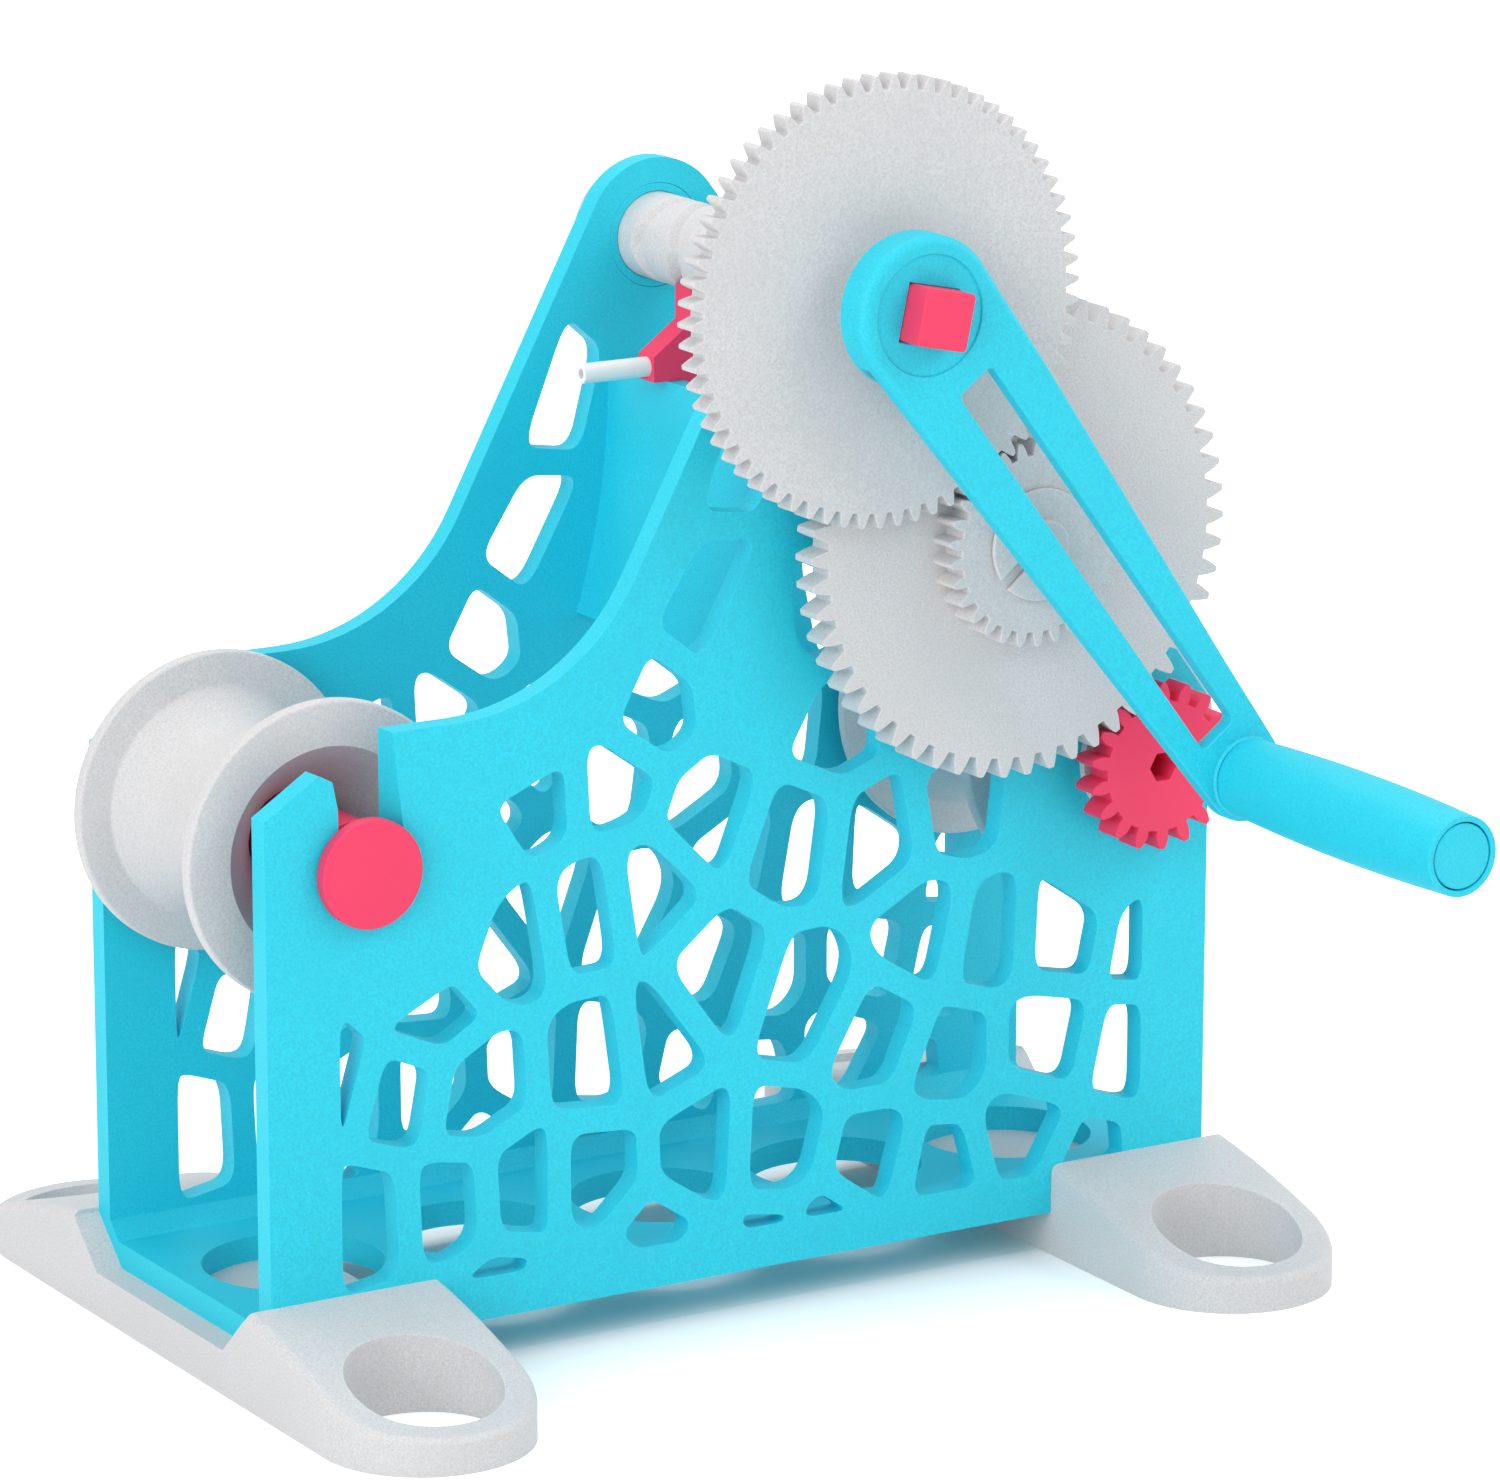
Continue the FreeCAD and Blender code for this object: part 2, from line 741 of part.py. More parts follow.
def make_bush(axis, bore, outer_side):
    """Flanged bush in a wall: outer_side is -1 in the front wall, 1 in the back wall."""
    if outer_side < 0:
        body = (front, front_inner)
        flange = (front - bush_flange, front)
    else:
        body = (back_inner, back)
        flange = (back, back + bush_flange)
    sleeve = disc(axis, bush_seat_radius - seat_fit, *body)
    rim = disc(axis, bush_flange_radius, *flange)
    hole = disc(axis, bore + running_fit, flange[0] - wall - past, flange[1] + wall + past)
    return sleeve.fuse(rim).cut(hole).removeSplitter()


# Crank parts

def groove_cutter(left_handed):
    """The cutter for one V-shaped helical groove of the reversing screw."""
    start = front_inner + screw_collar
    length = back_inner - screw_collar - start
    helix = Part.makeHelix(length / groove_turns, length, screw_radius, 0, left_handed)
    half = groove_width / 2
    over = half * (1 + groove_over / groove_depth)
    section = [Vec(screw_radius - groove_depth, 0, 0), Vec(screw_radius + groove_over, 0, -over),
               Vec(screw_radius + groove_over, 0, over)]
    cutter = Part.Wire(helix).makePipeShell([Part.makePolygon(section + section[:1])], True, True)
    cutter.rotate(Vec(0, 0, 0), Vec(1, 0, 0), -90)
    cutter.translate(on_wall(crank_axis, start))
    return cutter


def make_reversing_screw():
    """Shaft through both walls with a groove that winds there and back."""
    rear = back + bush_flange + end_play
    screw = disc(crank_axis, screw_radius, crank_gear_back, rear)
    screw = screw.fuse(disc(crank_axis, screw_stub_radius, rear, rear + screw_stub_length))
    screw = screw.cut(square_hole(crank_gear_back - past, front + shaft_inside))
    for left_handed in (False, True):
        screw = screw.cut(groove_cutter(left_handed))
    return screw


def make_crank_shaft():
    return regular_prism(crank_axis, shaft_side, 4, shaft_turn, front - shaft_proud,
                         front + shaft_inside - seat_fit, shaft_corner)


def make_screw_cap():
    rear = back + bush_flange + end_play
    cap = disc(crank_axis, screw_cap_radius, rear, rear + screw_cap_thick)
    return cap.cut(disc(crank_axis, screw_stub_radius + seat_fit, rear - past,
                        rear + screw_stub_length + seat_fit))


def tapered_outline(near, near_radius, far, far_radius, y):
    """Two circles of different size, joined by the straight lines that touch both."""
    angle = math.degrees(math.atan2(far[1] - near[1], far[0] - near[0]))
    lean = math.degrees(math.acos((near_radius - far_radius) / math.dist(near, far)))
    edges = [
        arc_edge(near, near_radius, angle + lean, angle + 360 - lean, y),
        Part.LineSegment(on_wall(step_along(near, near_radius, angle - lean), y),
                         on_wall(step_along(far, far_radius, angle - lean), y)).toShape(),
        arc_edge(far, far_radius, angle - lean, angle + lean, y),
        Part.LineSegment(on_wall(step_along(far, far_radius, angle + lean), y),
                         on_wall(step_along(near, near_radius, angle + lean), y)).toShape(),
    ]
    return Part.Wire(edges)


def make_crank_arm():
    """Flat arm with a long slot, a thick hub on the square shaft and a boss for the handle."""
    arm = plate(tapered_outline(crank_axis, hub_radius, handle_axis, arm_end_radius, arm_front_y),
                arm_front_y, arm_back_y)
    arm = arm.fuse(disc(crank_axis, hub_radius, arm_front_y, hub_back_y))
    arm = arm.fuse(Part.makeCone(handle_boss_far, handle_boss_near, handle_boss,
                                 on_wall(handle_axis, arm_front_y - handle_boss), Vec(0, 1, 0)))
    slot = Part.makeBox(arm_slot_end - arm_slot_start, arm_thick + 2 * past, arm_slot_width,
                        at(arm_slot_start, -past, -arm_slot_width / 2))
    slot = slot.makeFillet(arm_slot_corner, edges_along_y(slot))
    slot.rotate(Vec(0, 0, 0), Vec(0, 1, 0), -arm_angle)
    slot.translate(on_wall(crank_axis, arm_front_y))
    dish = disc(crank_axis, dish_radius, arm_front_y - past, arm_front_y + dish_depth)
    pin_hole = disc(handle_axis, handle_pin_radius + seat_fit, arm_front_y - handle_boss - past,
                    arm_back_y + past)
    arm = arm.cut([slot, dish, pin_hole, square_hole(arm_front_y - past, hub_back_y + past)])
    return arm.removeSplitter()


def make_handle_grip():
    """Barrel-shaped grip that turns on the handle pin, with a recess for the pin's cap."""
    recess = grip_end_y + handle_cap_thick + 2 * end_play
    middle_y = (grip_start_y + grip_end_y) / 2
    bore = handle_pin_radius + running_fit
    cap_bore = handle_cap_radius + end_play

    def place(y, radius):
        return at(handle_axis[0] + radius, y, handle_axis[1])

    sag = handle_edge * (1 - math.cos(math.radians(45)))
    curves = [
        Part.LineSegment(place(recess, bore), place(grip_start_y, bore)),
        Part.LineSegment(place(grip_start_y, bore), place(grip_start_y, handle_end_radius - handle_edge)),
        Part.Arc(place(grip_start_y, handle_end_radius - handle_edge),
                 place(grip_start_y - sag, handle_end_radius - sag),
                 place(grip_start_y - handle_edge, handle_end_radius)),
        Part.Arc(place(grip_start_y - handle_edge, handle_end_radius), place(middle_y, handle_mid_radius),
                 place(grip_end_y + handle_edge, handle_end_radius)),
        Part.Arc(place(grip_end_y + handle_edge, handle_end_radius),
                 place(grip_end_y + sag, handle_end_radius - sag),
                 place(grip_end_y, handle_end_radius - handle_edge)),
        Part.LineSegment(place(grip_end_y, handle_end_radius - handle_edge), place(grip_end_y, cap_bore)),
        Part.LineSegment(place(grip_end_y, cap_bore), place(recess, cap_bore)),
        Part.LineSegment(place(recess, cap_bore), place(recess, bore)),
    ]
    wire = Part.Wire([curve.toShape() for curve in curves])
    return Part.Face(wire).revolve(on_wall(handle_axis), Vec(0, 1, 0), 360)


def make_handle_pin():
    """Pin with a head behind the arm and a thin stub that holds the cap."""
    shoulder = grip_end_y + handle_cap_thick + end_play
    head_front = arm_back_y + seat_fit
    head = disc(handle_axis, handle_head_radius, head_front, head_front + handle_head_thick)
    shank = disc(handle_axis, handle_pin_radius, shoulder, head_front)
    stub = disc(handle_axis, handle_stub_radius, shoulder - handle_stub_length, shoulder)
    return head.fuse([shank, stub]).removeSplitter()


def make_handle_cap():
    shoulder = grip_end_y + handle_cap_thick + end_play
    cap = disc(handle_axis, handle_cap_radius, shoulder - handle_cap_thick, shoulder)
    return cap.cut(disc(handle_axis, handle_stub_radius + seat_fit,
                        shoulder - handle_stub_length - seat_fit, shoulder + past))


# Spools

def make_spool(axis):
    """Hollow spool: wide mouths lead to a straight bore, and the drum is drawn in between its flanges."""
    rear = spool_front + spool_width
    front_flange = spool_front + spool_flange
    rear_flange = rear - spool_flange
    bore = axle_radius + running_fit
    profile = [
        (spool_front, spool_mouth_radius),
        (spool_front, spool_flange_radius - spool_edge),
        (spool_front + spool_edge, spool_flange_radius),
        (front_flange - spool_edge, spool_flange_radius),
        (front_flange, spool_flange_radius - spool_edge),
        (front_flange, spool_shoulder_radius),
        (front_flange + spool_shoulder_length, spool_barrel_radius),
        (rear_flange - spool_shoulder_length, spool_barrel_radius),
        (rear_flange, spool_shoulder_radius),
        (rear_flange, spool_flange_radius - spool_edge),
        (rear_flange + spool_edge, spool_flange_radius),
        (rear - spool_edge, spool_flange_radius),
        (rear, spool_flange_radius - spool_edge),
        (rear, spool_mouth_radius),
        (rear - spool_mouth_depth, bore),
        (spool_front + spool_mouth_depth, bore),
    ]
    spool = turned(axis, profile)
    for turn in (0, 180):
        spool = spool.cut(key_block(axis, turn, key_height + 2 * running_fit, key_width + 2 * running_fit,
                                    spool_front, rear))
    return spool


def key_block(axis, turn, height, width, y0, y1):
    """A bar along Y that stands out of a shaft of the axle's radius."""
    block = Part.makeBox(height + past, y1 - y0, width, at(axle_radius - past, y0, -width / 2))
    block.rotate(Vec(0, 0, 0), Vec(0, 1, 0), -turn)
    block.translate(on_wall(axis))
    return block


def make_supply_axle():
    """Axle with a head and a neck in the front slot, and a neck and a stub at the back."""
    axle = disc(supply_axis, axle_head_radius, front - end_play - axle_head, front - end_play)
    axle = axle.fuse([
        disc(supply_axis, slot_width / 2 - slot_clearance, front - end_play, back + end_play),
        disc(supply_axis, axle_radius, front_inner + end_play, back_inner - end_play),
        disc(supply_axis, axle_stub_radius, back + end_play, back + end_play + axle_stub_length),
    ])
    return axle.removeSplitter()


def make_supply_cap():
    face = back + end_play
    cap = disc(supply_axis, axle_head_radius, face, face + axle_head)
    return cap.cut(disc(supply_axis, axle_stub_radius + seat_fit, face - past,
                        face + axle_stub_length + seat_fit))


def make_take_up_pinion():
    """Small gear on a journal through the front wall, with a hexagon tang and a hexagon drive hole."""
    gear_front = front - take_up_gear_proud
    gear_back = gear_front + take_up_gear_thick
    bush_front = front - bush_flange - end_play
    tang_start = front_inner + end_play
    pinion = plate(gear_wire(take_up_axis, take_up_teeth, coarse_module, take_up_tip, gear_front),
                   gear_front, gear_back)
    pinion = pinion.fuse([
        disc(take_up_axis, collar_radius, gear_back, bush_front),
        disc(take_up_axis, journal_radius, bush_front, tang_start),
        regular_prism(take_up_axis, tang_flats, 6, 0, tang_start, tang_start + tang_length),
    ])
    socket = regular_prism(take_up_axis, drive_flats, 6, drive_turn, gear_front - past,
                           gear_front + drive_depth)
    return pinion.cut(socket).removeSplitter()


def make_take_up_arbor():
    """Shaft that carries the take-up spool, pulled out through the back wall by its knob."""
    start = front_inner + 2 * end_play
    knob_start = back + bush_flange + end_play
    arbor = disc(take_up_axis, axle_radius, start, knob_start)
    knob = disc(take_up_axis, knob_radius, knob_start, knob_start + knob_thick)
    for i in range(knob_flutes):
        place = step_along(take_up_axis, knob_radius + knob_flute_radius / 2, 360 * i / knob_flutes)
        knob = knob.cut(disc(place, knob_flute_radius, knob_start - past, knob_start + knob_thick + past))
    arbor = arbor.fuse(knob)
    middle = spool_front + spool_width / 2
    for turn in (0, 180):
        arbor = arbor.fuse(key_block(take_up_axis, turn, key_height, key_width,
                                     middle - key_length / 2, middle + key_length / 2))
    socket = regular_prism(take_up_axis, tang_flats + 2 * seat_fit, 6, 0, start - past,
                           front_inner + end_play + tang_length + seat_fit)
    return arbor.cut(socket).removeSplitter()


# Guide

def make_guide_follower():
    """Block that rides on the cross wall below the screw, with a saddle above and a tongue behind."""
    foot = base + cross_top + guide_fit
    wall_face = left + cross_in
    nose = wall_face - guide_nose
    saddle_left = crank_axis[0] - guide_saddle_half
    saddle_right = crank_axis[0] + guide_saddle_half
    tongue_left = wall_face + cross_wall + guide_fit
    outline = [
        (nose, foot),
        (nose, foot + guide_nose_height),
        (saddle_left, foot + guide_shoulder_height),
        (saddle_left, crank_axis[1]),
        (saddle_right, crank_axis[1]),
        (saddle_right, foot + guide_nose_height),
        (tongue_left + guide_tongue, foot),
        (tongue_left + guide_tongue, foot - guide_tongue_drop),
        (tongue_left, foot - guide_tongue_drop),
        (tongue_left, foot),
    ]
    y0 = guide_y - guide_width / 2
    y1 = guide_y + guide_width / 2
    block = plate(polygon(outline, y0), y0, y1)
    saddle = disc(crank_axis, screw_radius + running_fit, y0 - past, y1 + past)
    pawl_hole = Part.makeCylinder(pawl_radius + seat_fit, pawl_length + screw_radius, pawl_foot())
    tube_hole = Part.makeCylinder(tube_radius + seat_fit, tube_length, tube_start(), Vec(1, 0, 0))
    return block.cut([saddle, pawl_hole, tube_hole])


def pawl_foot():
    tip = crank_axis[1] - screw_radius - end_play
    return at(crank_axis[0], guide_y, tip - pawl_length)


def make_follower_pawl():
    """Pin under the screw whose blade would sit in the groove."""
    return Part.makeCylinder(pawl_radius, pawl_length, pawl_foot())


def tube_start():
    """The open end of the tube, ahead of the follower's nose."""
    nose = left + cross_in - guide_nose
    return at(nose - tube_proud, guide_y, base + cross_top + guide_fit + tube_height)


def make_guide_tube():
    along = Vec(1, 0, 0)
    tube = Part.makeCylinder(tube_radius, tube_length, tube_start(), along)
    bore_start = tube_start() - along * past
    return tube.cut(Part.makeCylinder(tube_bore_radius, tube_length + 2 * past, bore_start, along))


def main():
    os.makedirs("parts", exist_ok=True)
    foot_middle = frame_length / 2 + foot_overhang - foot_length / 2
    save(make_front_wall(), "frame_wall_front")
    save(make_back_wall(), "frame_wall_back")
    save(make_floor(), "frame_floor")
    save(make_cross_wall(), "frame_cross_wall")
    save(make_foot(-foot_middle), "foot_left")
    save(make_foot(foot_middle), "foot_right")
    save(make_spool(supply_axis), "supply_spool")
    save(make_supply_axle(), "supply_axle")
    save(make_supply_cap(), "supply_axle_cap")
    save(make_spool(take_up_axis), "take_up_spool")
    save(make_take_up_pinion(), "take_up_pinion")
    save(make_take_up_arbor(), "take_up_arbor")
    save(make_bush(take_up_axis, journal_radius, -1), "take_up_bush_front")
    save(make_bush(take_up_axis, axle_radius, 1), "take_up_bush_back")
    save(make_idler_gear(), "idler_gear")
    save(make_idler_pin(), "idler_pin")
    save(make_idler_clip(), "idler_clip")
    save(make_idler_spacer(), "idler_spacer")
    save(make_crank_gear(), "crank_gear")
    save(make_crank_shaft(), "crank_shaft")
    save(make_reversing_screw(), "reversing_screw")
    save(make_screw_cap(), "screw_end_cap")
    save(make_bush(crank_axis, screw_radius, -1), "crank_bush_front")
    save(make_bush(crank_axis, screw_radius, 1), "crank_bush_back")
    save(make_crank_arm(), "crank_arm")
    save(make_handle_pin(), "handle_pin")
    save(make_handle_cap(), "handle_cap")
    save(make_handle_grip(), "handle_grip")
    save(make_guide_follower(), "guide_follower")
    save(make_follower_pawl(), "follower_pawl")
    save(make_guide_tube(), "guide_tube")


main()
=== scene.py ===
"""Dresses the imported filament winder: sintered nylon surfaces, softened edges and a pale studio."""

import math

import bmesh
import bpy
from mathutils import Matrix, Vector


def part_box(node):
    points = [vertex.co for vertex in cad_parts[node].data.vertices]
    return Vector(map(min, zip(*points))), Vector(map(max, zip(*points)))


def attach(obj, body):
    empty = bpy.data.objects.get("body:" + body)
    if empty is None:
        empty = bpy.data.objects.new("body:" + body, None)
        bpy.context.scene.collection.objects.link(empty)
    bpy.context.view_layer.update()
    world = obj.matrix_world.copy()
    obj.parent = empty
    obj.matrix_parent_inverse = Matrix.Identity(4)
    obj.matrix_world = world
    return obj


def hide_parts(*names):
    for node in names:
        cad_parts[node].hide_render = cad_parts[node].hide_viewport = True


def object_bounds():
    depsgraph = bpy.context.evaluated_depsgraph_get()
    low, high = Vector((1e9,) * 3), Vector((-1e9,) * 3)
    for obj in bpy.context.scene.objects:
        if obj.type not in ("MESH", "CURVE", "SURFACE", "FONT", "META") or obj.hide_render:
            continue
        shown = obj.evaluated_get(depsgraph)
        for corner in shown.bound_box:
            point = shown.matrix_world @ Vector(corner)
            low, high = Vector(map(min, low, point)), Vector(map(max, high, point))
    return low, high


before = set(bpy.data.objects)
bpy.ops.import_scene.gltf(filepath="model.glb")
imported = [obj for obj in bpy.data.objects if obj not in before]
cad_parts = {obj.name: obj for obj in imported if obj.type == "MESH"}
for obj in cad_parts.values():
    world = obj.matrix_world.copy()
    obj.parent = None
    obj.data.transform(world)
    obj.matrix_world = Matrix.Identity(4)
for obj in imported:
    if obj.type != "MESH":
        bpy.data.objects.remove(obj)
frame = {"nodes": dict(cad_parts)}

bl_info = {
    "name": "Filament Winder Dresser",
    "version": (1, 0, 0),
    "blender": (4, 5, 0),
    "location": "View3D > Sidebar > Winder",
    "description": "Gives a hand-cranked filament winder its printed surfaces and its studio",
    "category": "Object",
}

cad_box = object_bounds()

MM = 0.001
WHITE = (1.0, 1.0, 1.0, 1.0)
TURQUOISE = "#1CCEE5"
NATURAL = "#D2D1D2"
CORAL = "#F03662"
TUBE_WHITE = "#F4F4F2"
PAPER = "#F7F9FA"

FRAME_NODES = ("frame_wall_front", "frame_wall_back", "frame_floor", "frame_cross_wall")

# How near points are to be one point, and how little faces turn to be one flat face
WELD = 0.002 * MM
FLAT = math.radians(0.2)

# Sides of the holes in the gears, and steps of a rounded corner that shows well
HOLE_SIDES = 48
CORNER_STEPS = 6

# Size in metres and place of each lamp
LAMPS = {
    "key": (0.8, (0.75, -1.0, 1.15)),
    "fill": (1.2, (-1.3, -0.7, 0.7)),
    "side": (1.0, (1.4, -0.3, 0.6)),
    "top": (1.2, (0.0, 0.35, 1.5)),
}


def linear(hex_colour):
    """A hex sRGB colour as linear red, green, blue and alpha."""
    channels = [int(hex_colour[i:i + 2], 16) / 255 for i in (1, 3, 5)]
    return (*(c / 12.92 if c <= 0.04045 else ((c + 0.055) / 1.055) ** 2.4 for c in channels), 1.0)


def length(name, description, millimetres, low=0.0, high=1000.0):
    """A length property whose default is given in millimetres."""
    return bpy.props.FloatProperty(
        name=name, description=description, default=millimetres * MM, min=low * MM, max=high * MM,
        precision=5, subtype="DISTANCE", unit="LENGTH",
    )


def angle(name, description, degrees):
    return bpy.props.FloatProperty(
        name=name, description=description, default=math.radians(degrees), subtype="ANGLE", unit="ROTATION",
    )


def count(name, description, number):
    return bpy.props.IntProperty(name=name, description=description, default=number)


def plain(name, description, value):
    """A property without a unit of its own."""
    return bpy.props.FloatProperty(name=name, description=description, default=value)


def colour(name, description, hex_colour):
    return bpy.props.FloatVectorProperty(
        name=name, description=description, default=linear(hex_colour), size=4, min=0.0, max=1.0,
        subtype="COLOR",
    )


class WinderColours(bpy.types.PropertyGroup):
    """Colours of the printed parts and of the studio."""

    turquoise: colour("Turquoise", "Frame, crank arm and handle", TURQUOISE)
    natural: colour("Natural", "Gears, spools, feet and screw", NATURAL)
    coral: colour("Coral", "Axle, small gear, square shaft and follower", CORAL)
    tube: colour("Tube", "Guide tube", TUBE_WHITE)
    paper: colour("Paper", "Floor and backdrop", PAPER)


class WinderEdges(bpy.types.PropertyGroup):
    """How far the edges of each printed part are softened."""

    frame: length("Frame edge", "Softened edge of the walls", 0.45)
    foot: length("Foot edge", "Softened edge of the feet's channels and holes", 0.45)
    hub: length("Hub edge", "Rounded rim of the crank's hub", 2.2)
    arm: length("Arm edge", "Rounded outline of the crank arm", 1.0)
    slot: length("Slot edge", "Softened edge of the arm's slot and dish", 0.35)
    gear: length("Gear edge", "Softened edge of the teeth", 0.22)
    small: length("Small edge", "Softened edge of the small parts", 0.3)
    sharp: angle("Sharp from", "Edges that turn by less than this stay as they are", 32)


class WinderGears(bpy.types.PropertyGroup):
    """The three meshing axes."""

    fine_module: length("Fine module", "Crank gear and idler's small gear", 1.5)
    coarse_module: length("Coarse module", "Idler's large gear and take-up gear", 2.0)
    crank_teeth: count("Crank teeth", "Teeth on the crank gear", 66)
    idler_small_teeth: count("Small teeth", "Teeth on the idler's small gear", 30)
    idler_teeth: count("Idler teeth", "Teeth on the idler's large gear", 54)
    pressure: angle("Pressure angle", "Slope of the flanks", 20)
    thinning: length("Thinning", "How much each tooth is thinned for backlash", 0.16)
    root: plain("Root depth", "Root depth in modules", 1.25)
    train: angle("Train angle", "Slope of the line through the three axes", 124.6)
    crank_tip: angle("Crank tip", "Where one tooth of the crank gear points", 1)
    idler_tip: angle("Idler tip", "Where one tooth of the idler's large gear points", 6)
    crank_thick: length("Crank gear thickness", "Thickness of the crank gear", 5.8)
    idler_thick: length("Idler gear thickness", "Thickness of the idler's large gear", 7.3)
    crank_hole: length("Crank hole", "Radius of the hole in the crank gear", 9.4)
    pin_hole: length("Pin hole", "Radius of the hole in the idler's gears", 6.06)
    overlap: length("Overlap", "How far the idler's small gear reaches into the large one", 0.4)
    boss: length("Boss radius", "Radius of the boss on the crank gear", 12.0)
    boss_bore: length("Boss bore", "Radius of the hole in the boss", 9.5)
    boss_sunk: length("Boss sunk", "How far the boss reaches into the crank gear", 1.0)
    boss_edge: length("Boss edge", "Softened rims of the boss", 0.3)


class WinderAxle(bpy.types.PropertyGroup):
    """The supply axle, which lies in the two open slots."""

    head: length("Head", "Thickness of the flat head", 3.6)
    wall: length("Wall", "Thickness of the wall that each neck lies in", 5.8)
    play: length("Play", "Gap between the walls and what is beside them", 0.3)
    neck: length("Neck radius", "Radius in the slots", 6.52)
    shaft: length("Shaft radius", "Radius inside the spool", 10.0)
    stub: length("Stub radius", "Radius that the cap sits on", 4.0)
    edge: length("Edge", "Softened edges of the axle and its cap", 0.5)


class WinderSpool(bpy.types.PropertyGroup):
    """Section of both spools."""

    flange: length("Flange", "Thickness of each flange", 3.6)
    shoulder: length("Shoulder radius", "Drum radius beside a flange", 27.0)
    barrel: length("Barrel radius", "Drum radius in the middle", 20.2)
    slope: length("Slope length", "From the flange to the straight barrel", 11.0)
    mouth: length("Mouth radius", "Radius of the open ends", 24.6)
    mouth_depth: length("Mouth depth", "Depth of the open ends", 18.0)
    bore: length("Bore radius", "Radius of the bore", 10.06)
    rim: length("Rim edge", "Softened rim of the flanges", 0.9)
    root: length("Root fillet", "Fillet between drum and flange", 1.2)


class WinderHandle(bpy.types.PropertyGroup):
    """The grip and its pin."""

    end: length("End radius", "Radius at both ends of the grip", 9.3)
    middle: length("Middle radius", "Radius at the middle of the grip", 10.3)
    edge: length("Edge", "Softened ends of the grip", 1.3)
    bore: length("Bore radius", "Radius of the grip's hole for the pin", 5.06)
    cap_gap: length("Cap gap", "Gap round the pin's cap", 0.3)
    cap_edge: length("Cap edge", "Softened rims of the pin's cap", 0.5)
    cap_stub: length("Cap stub", "Radius of the pin's stub under the cap", 2.6)


class WinderStudio(bpy.types.PropertyGroup):
    """Camera and lamps."""

    azimuth: angle("Azimuth", "Direction of the camera, from the front", -31.2)
    elevation: angle("Elevation", "Height of the camera above the table", 14.1)
    roll: angle("Roll", "Roll of the camera", 0.1)
    distance: length("Distance", "From the camera to the aim", 1627.0, high=10000.0)
    aim: bpy.props.FloatVectorProperty(name="Aim", description="Point that the camera faces", size=3,
                                       default=(0.0, -5.75 * MM, 135.5 * MM), subtype="TRANSLATION")
    shift_right: length("Right", "How far the camera stands to the right of its aim", 18.25)
    shift_down: length("Down", "How far the camera stands below its aim", 7.5)
    lens: plain("Lens", "Focal length in millimetres", 169.26)
    key: plain("Key", "Lamp in front, in watts", 5.3)
    fill: plain("Fill", "Lamp at the left, in watts", 11.6)
    side: plain("Side", "Lamp at the right, in watts", 3.6)
    top: plain("Top", "Lamp above, in watts", 9.0)
    world: plain("World", "Strength of the even light", 0.53)
    floor: length("Floor", "Side of the floor", 6000.0, high=20000.0)
    white: length("White from", "How far from the winder the floor is plain white", 300.0)


GROUPS = {
    "winder_colours": WinderColours,
    "winder_edges": WinderEdges,
    "winder_gears": WinderGears,
    "winder_axle": WinderAxle,
    "winder_spool": WinderSpool,
    "winder_handle": WinderHandle,
    "winder_studio": WinderStudio,
}


# Materials

def add(tree, kind, links=None, values=None, **settings):
    """Adds a node: links go from another node's socket to an input, values are set on inputs."""
    node = tree.nodes.new(kind)
    for name, value in settings.items():
        setattr(node, name, value)
    for key, value in (values or {}).items():
        node.inputs[key].default_value = value
    for key, socket in (links or {}).items():
        tree.links.new(socket, node.inputs[key])
    return node


def shaded(base, factor):
    """A colour made lighter or darker, with its alpha kept."""
    return (*(min(1.0, c * factor) for c in base[:3]), 1.0)


